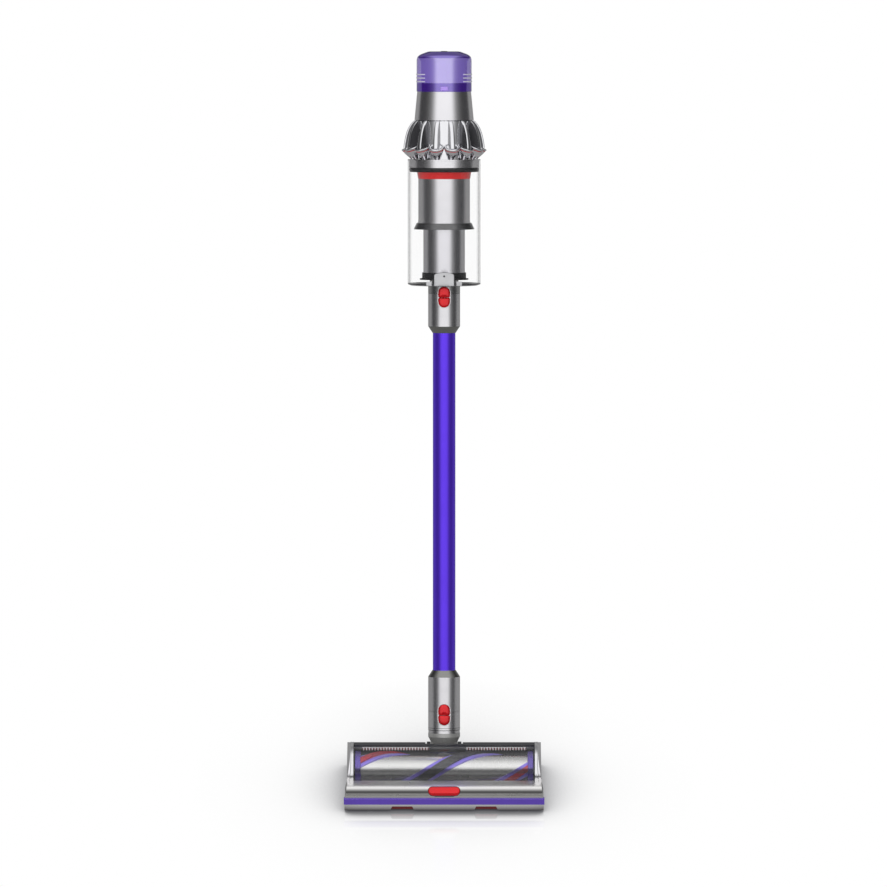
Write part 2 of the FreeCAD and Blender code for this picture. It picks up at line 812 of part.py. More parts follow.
def separator():
    turned("duct_seal", "stick", [
        ("inner_tube_radius - shell_wall", "foot_low"),
        ("duct_flange_radius", "foot_low"),
        ("duct_flange_radius", "foot_low + duct_flange_height"),
        ("duct_seal_radius", "seal_low"),
        ("duct_seal_radius", "seal_low + duct_seal_height"),
        ("inner_tube_radius - shell_wall", "seal_low + duct_seal_height"),
    ])
    tube("inner_duct", "stick", "inner_tube_low", "inner_tube_top",
         "inner_tube_radius", "inner_tube_radius - shell_wall")
    turned("shroud_skirt", "stick", [
        ("inner_tube_radius - shell_wall", "inner_tube_top + seat_gap"),
        ("skirt_radius", "inner_tube_top + seat_gap"),
        ("skirt_top_radius", "skirt_top"),
        ("inner_tube_radius - shell_wall", "skirt_top"),
    ])
    turned("shroud_mesh", "stick", [
        ("shroud_radius - shell_wall", "skirt_top + seat_gap"),
        ("shroud_radius + seam_gap", "skirt_top + seat_gap"),
        ("shroud_radius + seam_gap", "shroud_low"),
        ("shroud_radius", "shroud_low"),
        ("shroud_radius", "shroud_top - seat_gap"),
        ("shroud_radius - shell_wall", "shroud_top - seat_gap"),
    ])
    turned("shroud_collar", "stick", [
        ("shroud_radius - shell_wall", "shroud_top"),
        ("shroud_radius + seam_gap", "shroud_top"),
        ("collar_band_radius", "band_top - seat_gap"),
        ("shroud_radius - shell_wall", "band_top - seat_gap"),
    ])
    turned("bin_seal", "stick", [
        ("shroud_radius - shell_wall", "band_top"),
        ("bin_seal_radius", "band_top"),
        ("bin_radius - bin_wall_thickness - running_gap", "band_top + bin_seal_height / 2"),
        ("bin_seal_radius", "bin_seal_top - seat_gap"),
        ("shroud_radius - shell_wall", "bin_seal_top - seat_gap"),
    ])
    turned("bin_seat_ring", "stick", [
        ("shroud_radius - shell_wall", "bin_seal_top"),
        ("bin_radius - bin_wall_thickness - running_gap", "bin_seal_top"),
        ("bin_radius - bin_wall_thickness - running_gap", "seat_top - seat_rim_height"),
        ("bin_radius", "seat_top - seat_rim_height"),
        ("bin_radius", "seat_top"),
        ("shroud_radius - shell_wall", "seat_top"),
    ])


# ---------------------------------------------------------------- cyclones

def tilted_sketch(owner, along):
    """A sketch across a cyclone's own axis, which leans in to the core on its way down."""
    item = sketch(owner, "XY_Plane")
    x = f"cyclone_ring_radius - ({along}) * sin(cyclone_tilt)"
    z = f"cyclone_mid - ({along}) * cos(cyclone_tilt)"
    item.AttachmentOffset = FreeCAD.Placement(
        Vector(value(x), 0, value(z)), FreeCAD.Rotation(Vector(0, 1, 0), value("cyclone_tilt")))
    item.setExpression("AttachmentOffset.Base.x", bound(x))
    item.setExpression("AttachmentOffset.Base.z", bound(z))
    item.setExpression("AttachmentOffset.Rotation.Angle", bound("cyclone_tilt"))
    return item


def facets(item, radius):
    """A many-sided outline about the sketch's origin, with a flat on each side."""
    turns = [f"({i} + 1 / 2) * 360 / facet_count" for i in range(int(value("facet_count")))]
    outline(item, [(f"{radius} * cos({t})", f"{radius} * sin({t})") for t in turns])


def cyclone_core():
    """The drum in the middle, with the cyclones' lower cones leaning in round its foot."""
    owner = tube("cyclone_core", "stick", "seat_top + seat_gap", "cyclone_top - seat_gap",
                 "cyclone_core_radius", "motor_radius + running_gap")
    profile = tilted_sketch(owner, "lip_height + seat_gap")
    facets(profile, "cone_top_radius")
    cone = feature(owner, "Pad", profile, Length="cone_length", Reversed=True)
    cone.setExpression(
        "TaperAngle", bound("-atan((cone_top_radius - cone_tip_radius) / cone_length)"))
    doc.recompute()
    spread(owner, [cone], "cyclone_count")


def cyclone_fingers():
    """Ribs that arch from the cyclones' rims in to the motor housing, on one thin sleeve."""
    owner = tube("cyclone_fingers", "stick",
                 "cyclone_mid + lip_radius * sin(cyclone_tilt) + running_gap",
                 "cyclone_top - seat_gap",
                 "cyclone_core_radius + finger_sleeve", "cyclone_core_radius + seat_gap")
    foot = "finger_foot_width / 2"
    head = "finger_head_width / 2"
    bulge = "cyclone_mid + finger_bulge_rise"
    profile = sketch(owner, "YZ_Plane", "cyclone_core_radius + seat_gap")
    outline(profile, [
        (f"-{head}", "cyclone_top - seat_gap"),
        (f"-{foot}", bulge),
        (f"-{foot}", "seat_top"),
        (foot, "seat_top"),
        (foot, bulge),
        (head, "cyclone_top - seat_gap"),
    ])
    block = feature(owner, "Pad", profile, Length="cyclone_ring_radius")
    block.setExpression("TaperAngle", bound("-finger_side_angle"))
    outer = sketch(owner, "XZ_Plane")
    outline(outer, [
        ("housing_low_radius", "cyclone_top"),
        ("finger_bulge_radius - finger_bulge_step", "cyclone_top - finger_bulge_drop / 2"),
        ("finger_bulge_radius", bulge),
        ("finger_lip_radius", "cyclone_mid"),
        ("finger_lip_radius", "seat_top - cyclone_rise"),
        ("3 * cyclone_ring_radius", "seat_top - cyclone_rise"),
        ("3 * cyclone_ring_radius", "cyclone_top"),
    ])
    trim = feature(owner, "Pocket", outer, Length="cyclone_ring_radius", SideType="Symmetric")
    under = sketch(owner, "XZ_Plane")
    fall = "tan(cyclone_tilt)"
    level = "cyclone_mid + seat_gap / cos(cyclone_tilt)"
    outline(under, [
        ("cyclone_core_radius", f"{level} + (cyclone_ring_radius - cyclone_core_radius) * {fall}"),
        ("cyclone_core_radius", "seat_top - cyclone_rise"),
        ("2 * cyclone_ring_radius", "seat_top - cyclone_rise"),
        ("2 * cyclone_ring_radius", f"{level} - cyclone_ring_radius * {fall}"),
    ])
    floor_cut = feature(owner, "Pocket", under, Length="cyclone_ring_radius", SideType="Symmetric")
    spread(owner, [block, trim, floor_cut], "cyclone_count")


def cyclone_lips():
    """The cyclones' upper rims, which meet in a cusp between each two."""
    owner = body("cyclone_lips", "stick")
    profile = tilted_sketch(owner, "0")
    facets(profile, "lip_radius")
    rim = feature(owner, "Pad", profile, Length="lip_height", Reversed=True)
    spread(owner, [rim], "cyclone_count")
    groove(owner, [
        ("0", "seat_top"),
        ("cyclone_core_radius + seat_gap", "seat_top"),
        ("cyclone_core_radius + seat_gap", "cyclone_top"),
        ("0", "cyclone_top"),
    ])


# ---------------------------------------------------------------- motor, filter and display

def motor_housing():
    turned("motor_housing", "stick", [
        ("housing_low_radius - housing_wall", "cyclone_top"),
        ("housing_low_radius", "cyclone_top"),
        ("housing_top_radius", "housing_top - seat_gap"),
        ("motor_radius + running_gap", "housing_top - seat_gap"),
        ("motor_radius + running_gap", "housing_top - housing_wall"),
        ("housing_top_radius - housing_wall", "housing_top - housing_wall"),
    ])


def motor():
    """The motor in its can, with the suction wheel below it on the shaft."""
    stator_low = "housing_top - housing_wall - stator_height"
    can_low = "cyclone_top - stator_height"
    turned("motor_unit", "stick", [
        ("motor_radius - motor_wall", can_low),
        ("motor_radius", can_low),
        ("motor_radius", "housing_top - seat_gap"),
        ("0", "housing_top - seat_gap"),
        ("0", "housing_top - housing_wall"),
        ("shaft_radius + pin_gap", "housing_top - housing_wall"),
        ("shaft_radius + pin_gap", stator_low),
        ("motor_radius - motor_wall", stator_low),
    ])
    wheel_low = "housing_top - housing_wall - stator_height - impeller_height - sweep_gap"
    wheel = turned("impeller", "stick", [
        ("0", wheel_low),
        ("shaft_radius", wheel_low),
        ("impeller_radius - blade_thickness", f"{wheel_low} + impeller_height - blade_thickness"),
        ("impeller_radius - blade_thickness", f"{wheel_low} + impeller_height"),
        ("shaft_radius", f"{wheel_low} + impeller_height"),
        ("shaft_radius", "housing_top - housing_wall - sweep_gap"),
        ("0", "housing_top - housing_wall - sweep_gap"),
    ])

    def blade_side(profile):
        outline(profile, [
            ("shaft_radius / 2", wheel_low),
            ("impeller_radius", wheel_low),
            ("impeller_radius", f"{wheel_low} + impeller_height"),
            ("shaft_radius / 2", f"{wheel_low} + impeller_height"),
        ])

    blade = add_along(wheel, "XZ_Plane", blade_side, "blade_thickness", SideType="Symmetric")
    spread(wheel, [blade], "impeller_blades")


def filter_unit():
    """A clear cap with finger ribs at its sides and a catch in front; the pod fills its middle."""
    low = "housing_top"
    inner = "filter_radius - filter_wall"
    hole = "pod_radius + running_gap"
    owner = turned("filter_cap", "stick", [
        (inner, low),
        ("filter_radius", low),
        ("filter_radius", "filter_top - 2 * filter_dome"),
        ("filter_radius - filter_dome / 2", "filter_top - filter_dome"),
        ("filter_radius - 3 * filter_dome / 2", "filter_top - filter_dome / 2"),
        (hole, "filter_top"),
        (hole, "filter_top - filter_wall"),
        ("filter_radius - 3 * filter_dome / 2 - filter_wall",
         "filter_top - filter_dome / 2 - filter_wall"),
        ("filter_radius - filter_dome / 2 - filter_wall",
         "filter_top - filter_dome - filter_wall / 2"),
        (inner, "filter_top - 2 * filter_dome"),
    ])
    ribs = sketch(owner, "XZ_Plane")
    for row in range(int(value("rib_rows"))):
        rib_low = f"housing_top + filter_band + rib_rise - rib_height / 2 + {row} * rib_pitch"
        box_outline(ribs, "filter_radius - filter_wall / 2", "filter_radius + rib_proud",
                    rib_low, f"{rib_low} + rib_height")
    grips = feature(owner, "Revolution", ribs, ReferenceAxis=(ribs, ["V_Axis"]),
                    Angle="rib_arc", Midplane=True)
    spread(owner, [grips], "2")
    add_along(owner, "XZ_Plane",
              lambda s: box_outline(s, "-catch_width / 2", "catch_width / 2",
                                    "housing_top + catch_rise",
                                    "housing_top + catch_rise + catch_height"),
              "filter_wall / 2 + catch_proud", offset="filter_radius - filter_wall / 2")


def filter_media():
    low = "housing_top + filter_band"
    tube("filter_media", "stick", f"{low} + seat_gap", f"{low} + media_height",
         "media_outer_radius", "media_inner_radius")
    tube("filter_frame", "stick", "housing_top + seat_gap", low,
         "filter_radius - filter_wall - seat_gap", "pod_radius + running_gap")


def display():
    pod = turned("display_pod", "stick", [
        ("0", "housing_top"),
        ("pod_radius", "housing_top"),
        ("pod_radius", "filter_top - glass_thickness / 2"),
        ("glass_radius + seat_gap", "filter_top - glass_thickness / 2"),
        ("glass_radius + seat_gap", "filter_top - glass_thickness"),
        ("0", "filter_top - glass_thickness"),
    ])
    cut_along(pod, "XY_Plane",
              lambda s: ring(s, "0", "mode_button_offset", "mode_button_radius + running_gap"),
              "latch_travel + sweep_gap", offset="filter_top - glass_thickness")
    glass = turned("display_glass", "stick", [
        ("0", "filter_top - glass_thickness + seat_gap"),
        ("glass_radius", "filter_top - glass_thickness + seat_gap"),
        ("glass_radius", "filter_top"),
        ("0", "filter_top"),
    ])
    cut_along(glass, "XY_Plane",
              lambda s: ring(s, "0", "mode_button_offset", "mode_button_radius + running_gap"),
              "2 * glass_thickness", offset="filter_top + seat_gap")
    button = body("mode_button", "stick")
    add_along(button, "XY_Plane",
              lambda s: ring(s, "0", "mode_button_offset", "mode_button_radius"),
              "glass_thickness + mode_button_proud",
              offset="filter_top - glass_thickness + seat_gap")


# ---------------------------------------------------------------- handle and battery

def bridge():
    """The arm from the motor housing back to the top of the grip."""
    owner = extruded("handle_bridge", "stick", [
        ("motor_radius", "housing_top - bridge_depth"),
        ("grip_front + grip_depth", "housing_top - bridge_depth"),
        ("grip_front + grip_depth", "housing_top - bridge_depth / 2", "bridge_depth / 2", 1),
        ("grip_front + grip_depth - bridge_depth / 2", "housing_top"),
        ("motor_radius", "housing_top"),
    ], "bridge_width")
    groove(owner, [
        ("0", "cyclone_top - bridge_depth"),
        ("housing_low_radius + seat_gap", "cyclone_top - bridge_depth"),
        ("housing_low_radius + seat_gap", "cyclone_top"),
        ("housing_top_radius + seat_gap", "housing_top"),
        ("0", "housing_top"),
    ])
    bevelled(owner, "bridge_bevel",
             lambda e: straight_along("y")(e) and e.CenterOfMass.z > value("housing_top - seat_gap"))


def grip():
    top = "housing_top - bridge_depth - seat_gap"
    owner = extruded("handle_grip", "stick", [
        ("grip_front + grip_slant", "foot_top"),
        ("grip_front + grip_slant + grip_depth", "foot_top"),
        ("grip_front + grip_depth", top),
        ("grip_front", top),
    ], "grip_width")
    rounded(owner, "grip_rounding",
            lambda e: isinstance(e.Curve, Part.Line) and abs(e.Curve.Direction.z) > 0.9)
    cut_along(owner, "YZ_Plane",
              lambda s: box_outline(s, "trigger_front", "trigger_front + 2 * trigger_slot_depth",
                                    f"{top} - trigger_height - sweep_gap",
                                    f"{top} - seat_gap"),
              "trigger_width + 2 * running_gap", SideType="Symmetric")
    cut_along(owner, "YZ_Plane", lambda s: trigger_ring(s, "trigger_pin_radius + pin_gap"),
              "grip_width - sweep_gap", SideType="Symmetric")


def trigger_ring(profile, radius):
    ring(profile, "grip_front + trigger_slot_depth / 2",
         "housing_top - bridge_depth - 2 * running_gap - trigger_slot_depth / 2", radius)


def trigger():
    """The trigger, hung in its slot on a pin moulded through it."""
    top = "housing_top - bridge_depth - 2 * running_gap"
    owner = extruded("trigger", "stick", [
        ("trigger_front", f"{top} - trigger_height"),
        ("grip_front + trigger_slot_depth / 3", f"{top} - trigger_height"),
        ("grip_front + trigger_slot_depth - sweep_gap", f"{top} - sweep_gap"),
        ("trigger_front + trigger_slot_depth / 2", f"{top} - sweep_gap"),
    ], "trigger_width")
    add_along(owner, "YZ_Plane", lambda s: trigger_ring(s, "trigger_pin_radius"),
              "grip_width - 2 * sweep_gap", SideType="Symmetric")


def foot():
    """The arm under the grip, which the battery slides up to."""
    owner = extruded("battery_dock", "stick", [
        ("foot_front", "battery_top + seat_gap"),
        ("foot_back", "battery_top + seat_gap"),
        ("foot_back", "seat_top"),
        ("foot_front", "seat_top"),
    ], "foot_width")
    rounded(owner, "foot_rounding",
            lambda e: straight_along("z")(e) and e.CenterOfMass.y > value("battery_front"))
    bevelled(owner, "foot_bevel",
             lambda e: straight_along("y")(e) and e.CenterOfMass.z > value("seat_top - seat_gap"))


def battery():
    owner = extruded("battery_pack", "stick", [
        ("battery_front", "battery_top - battery_height"),
        ("battery_back", "battery_top - battery_height"),
        ("battery_back", "battery_top"),
        ("battery_front", "battery_top"),
    ], "battery_width")
    rounded(owner, "battery_rounding", straight_along("z"))
    bevelled(owner, "battery_bevel",
             lambda e: straight_along("x")(e)
             and e.CenterOfMass.z < value("battery_top - battery_height / 2"))
    cut_along(owner, "XZ_Plane",
              lambda s: ring(s, "0", "battery_top - charge_socket_drop", "charge_socket_radius"),
              "charge_socket_depth", offset="-battery_back", Reversed=True)
    cut_along(owner, "XZ_Plane",
              lambda s: box_outline(s, "-latch_width / 2 - running_gap", "latch_width / 2 + running_gap",
                                    "battery_top - 3 * latch_height - running_gap",
                                    "battery_top - 2 * latch_height + running_gap"),
              "latch_thickness + latch_travel", offset="-battery_back", Reversed=True)
    latch = body("battery_latch", "stick")
    add_along(latch, "XZ_Plane",
              lambda s: box_outline(s, "-latch_width / 2", "latch_width / 2",
                                    "battery_top - 3 * latch_height", "battery_top - 2 * latch_height"),
              "latch_thickness", offset="-battery_back + latch_thickness - seam_gap", Reversed=True)


def bin_lever():
    extruded("bin_release_lever", "stick", [
        ("lever_front", "battery_top - lever_height"),
        ("lever_front + lever_thickness", "battery_top - lever_height"),
        ("lever_front + lever_thickness", "battery_top"),
        ("lever_front", "battery_top"),
    ], "lever_width")


# ---------------------------------------------------------------- brush bar

FRAMES["brush"] = (
    "roller_y",
    "roller_height",
    "90 + 360 * (roller_length / 2 + strip_group / 2 + carbon_front_x) / helix_lead",
)
FRAMES["roll"] = ("roller_y - fascia_front + fascia_roll_radius",
                  "fascia_top - fascia_roll_radius", "-slider_tilt")


def brush_core():
    half = "(roller_length / 2 - roller_ring_width)"
    turned_about_x("brush_core", "roller", [
        (f"-{half} + seat_gap", "core_radius - core_wall"),
        (f"{half} - seat_gap", "core_radius - core_wall"),
        (f"{half} - seat_gap", "core_radius"),
        (f"-{half} + seat_gap", "core_radius"),
    ])


def brush_rings():
    """The bar's two end discs, which turn on the axle and on the motor's stub."""
    owner = body("brush_rings", "roller")
    profile = sketch(owner, "XZ_Plane")
    for side in (-1, 1):
        near = f"{side} * (roller_length / 2 - roller_ring_width)"
        far = f"{side} * roller_length / 2"
        low, high = (near, far) if side > 0 else (far, near)
        box_outline(profile, low, high, "axle_radius + pin_gap", "roller_ring_radius")
    feature(owner, "Revolution", profile, ReferenceAxis=(profile, ["H_Axis"]), Angle=360)


def brush_drive():
    """The motor inside the bar, held by its stub in the left end cap."""
    stub = "-(end_cap_x - seat_gap)"
    low = "-(roller_length / 2 - 2 * roller_ring_width)"
    turned_about_x("brush_motor", "roller", [
        (stub, "0"),
        (f"{low} + brush_motor_length", "0"),
        (f"{low} + brush_motor_length", "brush_motor_radius"),
        (low, "brush_motor_radius"),
        (low, "axle_radius"),
        (stub, "axle_radius"),
    ])


def strip(owner, low, high, reach, side):
    """One helical strip on the core: low and high are its edges along X where it sets off."""
    profile = sketch(owner, "XZ_Plane")
    foot = f"{side} * (core_radius + 2 * seat_gap)"
    top = f"{side} * (core_radius + {reach})"
    box_outline(profile, low, high, *((foot, top) if side > 0 else (top, foot)))
    item = owner.newObject("PartDesign::AdditiveHelix", owner.Name + "_helix")
    item.Profile = profile
    item.ReferenceAxis = (profile, ["H_Axis"])
    item.Mode = 0
    item.setExpression("Pitch", bound("helix_lead"))
    item.setExpression("Height", bound("roller_length + strip_group"))
    item.LeftHanded = True
    doc.recompute()


def trim_strips(owner):
    for side in (-1, 1):
        inner = "(roller_length / 2 - roller_ring_width - seat_gap)"
        outer = "(roller_length / 2 + 2 * strip_group)"
        edges = (f"{side} * {inner}", f"{side} * {outer}")
        low, high = edges if side > 0 else edges[::-1]
        cut_along(owner, "XZ_Plane",
                  lambda s: box_outline(s, low, high, "-roller_ring_radius", "roller_ring_radius"),
                  "2 * roller_ring_radius", SideType="Symmetric")


def brush_strips():
    """Two groups, half a turn apart: a bristle strip between two soft fins in each."""
    start = "-roller_length / 2 - strip_group / 2"
    for label, width, reach, side in (
        ("carbon_strip", "carbon_width", "carbon_reach", 1),
        ("nylon_strip", "nylon_width", "nylon_reach", -1),
    ):
        owner = body(label, "brush")
        strip(owner, f"{start} - {width} / 2", f"{start} + {width} / 2", reach, side)
        trim_strips(owner)
    fins = body("brush_fins", "brush")
    for width, side in (("carbon_width", 1), ("nylon_width", -1)):
        edge = f"({width} / 2 + seam_gap)"
        strip(fins, f"{start} - {edge} - fin_width", f"{start} - {edge}", "fin_reach", side)
        strip(fins, f"{start} + {edge}", f"{start} + {edge} + fin_width", "fin_reach", side)
    trim_strips(fins)


# ---------------------------------------------------------------- head casing

def on_roller_circle(radius, angle):
    """A point at an angle back from straight above the roller."""
    return (f"({radius}) * sin({angle})", f"roller_height + ({radius}) * cos({angle})")


def level_on_circle(radius, level, side):
    """Where a circle about the roller meets a level."""
    return (f"{side} * sqrt(({radius})^2 - (({level}) - roller_height)^2)", level)


def roller_window():
    inner = "window_radius - window_wall"
    front = "roller_height + window_front_rise"
    extruded("roller_window", "head", [
        (*level_on_circle("window_radius", front, -1), "window_radius", -1),
        on_roller_circle("window_radius", "window_back_angle"),
        (*on_roller_circle(inner, "window_back_angle"), inner, 1),
        level_on_circle(inner, front, -1),
    ], "shell_length - 2 * seat_gap")


def wheel_well(owner, wheel, side):
    cut_along(owner, "YZ_Plane",
              lambda s: ring(s, f"{side} * abs({wheel}_wheel_y)", f"{wheel}_wheel_radius",
                             f"{wheel}_wheel_radius + sweep_gap"),
              f"{wheel}_wheel_width + 2 * running_gap",
              offset=f"{wheel}_wheel_x - {wheel}_wheel_width / 2 - running_gap", Reversed=True)
    cut_along(owner, "YZ_Plane",
              lambda s: ring(s, f"{side} * abs({wheel}_wheel_y)", f"{wheel}_wheel_radius",
                             f"{wheel}_wheel_radius + sweep_gap"),
              f"{wheel}_wheel_width + 2 * running_gap",
              offset=f"-{wheel}_wheel_x + {wheel}_wheel_width / 2 + running_gap")
    cut_along(owner, "YZ_Plane",
              lambda s: ring(s, f"{side} * abs({wheel}_wheel_y)", f"{wheel}_wheel_radius",
                             "wheel_axle_radius + pin_gap"),
              f"2 * {wheel}_wheel_x + 3 * {wheel}_wheel_width", SideType="Symmetric")


def head_shell():
    """The moulding behind the roller, with a notch for the neck's yoke."""
    seat = "(window_back_angle + window_seat_angle)"
    owner = extruded("head_shell", "head", [
        on_roller_circle("chamber_radius", seat),
        on_roller_circle("window_radius + window_wall / 2", seat),
        ("ridge_y", "ridge_z"),
        ("shell_shoulder_y", "shell_shoulder_z"),
        ("shell_back_y", "shell_back_z"),
        ("shell_back_y", "shell_bottom_z"),
        (*level_on_circle("chamber_radius", "shell_bottom_z", 1), "chamber_radius", 1),
    ], "shell_length - 2 * seat_gap")
    wall = "chamber_radius + chamber_wall"
    top = "roller_height + ear_radius + 2 * axle_radius + chamber_wall"

    def notch(profile):
        outline(profile, [
            (*level_on_circle(wall, "neck_notch_floor", 1), wall, 1),
            level_on_circle(wall, top, 1),
            (level_on_circle(wall, top, 1)[0], "2 * ridge_z"),
            ("2 * shell_back_y", "2 * ridge_z"),
            ("2 * shell_back_y", "neck_notch_floor"),
        ])

    cut_along(owner, "YZ_Plane", notch, "neck_notch_width", SideType="Symmetric")
    cut_along(owner, "XZ_Plane", lambda s: ring(s, "0", "pivot_height", "duct_radius"),
              "pivot_back")
    wheel_well(owner, "rear", 1)


def sole_plate():
    owner = extruded("sole_plate", "head", [
        (level_on_circle("chamber_radius", "shell_bottom_z", 1)[0], "sole_low"),
        ("shell_back_y - sweep_gap", "sole_low"),
        ("shell_back_y - sweep_gap", "shell_bottom_z - seat_gap"),
        (level_on_circle("chamber_radius", "shell_bottom_z", 1)[0], "shell_bottom_z - seat_gap"),
    ], "shell_length - 2 * seat_gap")
    for mirrored in (False, True):
        middle = "-rear_wheel_x" if mirrored else "rear_wheel_x"
        cut_along(owner, "XY_Plane",
                  lambda s: box_outline(
                      s, f"{middle} - rear_wheel_width / 2 - running_gap",
                      f"{middle} + rear_wheel_width / 2 + running_gap",
                      "rear_wheel_y - rear_wheel_radius - sweep_gap",
                      "rear_wheel_y + rear_wheel_radius + sweep_gap"),
                  "shell_bottom_z", Reversed=True)


def end_cap(label, side):
    """A cap over the end of the casing, wider at its foot than at its crown."""
    rise = "(ridge_y^2 + (ridge_z - roller_height)^2)"
    front_z = f"roller_height + sqrt({rise} - (fascia_back - seat_gap)^2)"
    owner = body(label, "head")
    profile = sketch(owner, "YZ_Plane", f"{side} * end_cap_x")
    outline(profile, [
        ("-fascia_back + seat_gap", "sill_low"),
        ("shell_back_y", "sill_low"),
        ("shell_back_y", "shell_back_z"),
        ("shell_shoulder_y", "shell_shoulder_z"),
        ("ridge_y", "ridge_z", f"sqrt({rise})", 1),
        ("-fascia_back + seat_gap", front_z),
    ])
    feature(owner, "Pad", profile, Length="end_cap_width", Reversed=side < 0)
    peak = f"roller_height + sqrt({rise}) + seat_gap"
    cut_along(owner, "XZ_Plane",
              lambda s: outline(s, [
                  (f"{side} * (end_cap_x + end_cap_top_width)", peak),
                  (f"{side} * (end_cap_x + end_cap_width)", "fascia_top"),
                  (f"{side} * (end_cap_x + 2 * end_cap_width)", "fascia_top"),
                  (f"{side} * (end_cap_x + 2 * end_cap_width)", peak),
              ]),
              "4 * shell_back_y", SideType="Symmetric")
    if side > 0:
        add_along(owner, "YZ_Plane", lambda s: ring(s, "0", "roller_height", "axle_radius"),
                  "end_cap_x - roller_length / 2 + 2 * roller_ring_width + end_cap_width / 2",
                  offset="roller_length / 2 - 2 * roller_ring_width")


def comb():
    """A row of teeth that strips hair off the bristles."""
    owner = body("comb", "head")
    clear = "core_radius + carbon_reach + comb_gap"
    root_y = "comb_root_y"
    tip_y = "comb_root_y - comb_tooth_length"
    back = "chamber_radius - running_gap"
    profile = sketch(owner, "YZ_Plane")
    outline(profile, [
        level_at(clear, root_y),
        level_at(back, f"{root_y} + comb_bar_depth / 4"),
        level_at("window_radius - window_wall - running_gap", root_y),
    ])
    feature(owner, "Pad", profile, Length="comb_pitch * comb_count", SideType="Symmetric")
    tooth = sketch(owner, "YZ_Plane", "-comb_pitch * (comb_count - 1) / 2 - comb_tooth / 2")
    outline(tooth, [
        level_at(clear, f"{root_y} + running_gap"),
        level_at("window_radius - window_wall - running_gap", f"{root_y} + running_gap"),
        level_at(f"{clear} + comb_tip", tip_y),
        level_at(clear, tip_y),
    ])
    first = feature(owner, "Pad", tooth, Length="comb_tooth")
    row = owner.newObject("PartDesign::LinearPattern", "comb_row")
    row.Originals = [first]
    axis = next(f for f in owner.Origin.OriginFeatures if f.Role == "X_Axis")
    row.Direction = (axis, [""])
    row.setExpression("Length", bound("comb_pitch * (comb_count - 1)"))
    row.setExpression("Occurrences", bound("comb_count"))
    owner.Tip = row
    doc.recompute()


def level_at(radius, across):
    """The point above the roller where a circle about it passes a distance back."""
    return (across, f"roller_height + sqrt(({radius})^2 - ({across})^2)")


# ---------------------------------------------------------------- front bar of the head

def fascia():
    """A rolled cover with a slot for the slider's stem."""
    roll_y = "-fascia_front + fascia_roll_radius"
    roll_z = "fascia_top - fascia_roll_radius"
    inner = "fascia_roll_radius - fascia_wall"
    owner = extruded("front_fascia", "head", [
        ("-fascia_back", "fascia_top"),
        (roll_y, "fascia_top", "fascia_roll_radius", 1),
        ("-fascia_front", roll_z),
        ("-fascia_front", "fascia_low"),
        ("-fascia_front + fascia_wall", "fascia_low"),
        ("-fascia_front + fascia_wall", roll_z, inner, -1),
        (roll_y, "fascia_top - fascia_wall"),
        ("-fascia_back", "fascia_top - fascia_wall"),
    ], "fascia_length")
    for side in (-1, 1):
        wall = sketch(owner, "YZ_Plane",
                      f"{side} * (fascia_length / 2 - fascia_overhang - fascia_wall)")
        outline(wall, [
            ("-fascia_back", "fascia_top - fascia_wall / 2"),
            (roll_y, "fascia_top - fascia_wall / 2", "fascia_roll_radius - fascia_wall / 2", 1),
            ("-fascia_front + fascia_wall / 2", roll_z),
            ("-fascia_front + fascia_wall / 2", "fascia_low"),
            ("-fascia_back", "fascia_low"),
        ])
        feature(owner, "Pad", wall, Length="fascia_overhang + fascia_wall", Reversed=side < 0)
        cut_along(owner, "XZ_Plane",
                  lambda s: outline(s, [
                      (f"{side} * (fascia_length / 2 - fascia_overhang)", "fascia_top + seat_gap"),
                      (f"{side} * fascia_length / 2", "fascia_low"),
                      (f"{side} * fascia_length", "fascia_low"),
                      (f"{side} * fascia_length", "fascia_top + seat_gap"),
                  ]),
                  "4 * fascia_front", SideType="Symmetric")
    slot = sketch(owner, "XY_Plane", "fascia_top")
    half = "(slider_stem_width / 2 + gate_travel + running_gap)"
    reach = "(fascia_front - fascia_roll_radius * (1 - cos(slider_tilt)))"
    box_outline(slot, f"-{half}", half, f"-{reach} - slider_stem_height",
                f"-{reach} + slider_stem_height")
    feature(owner, "Pocket", slot, Length="fascia_roll_radius")


def bumper():
    owner = extruded("bumper_strip", "head", [
        ("-bumper_front", "bumper_low"),
        ("-fascia_front + fascia_wall", "bumper_low"),
        ("-fascia_front + fascia_wall", "fascia_low - seat_gap"),
        ("-bumper_front", "fascia_low - seat_gap"),
    ], "bumper_length")
    rounded(owner, "sweep_gap",
            lambda e: straight_along("x")(e) and e.CenterOfMass.y < value("-fascia_front - seat_gap"))


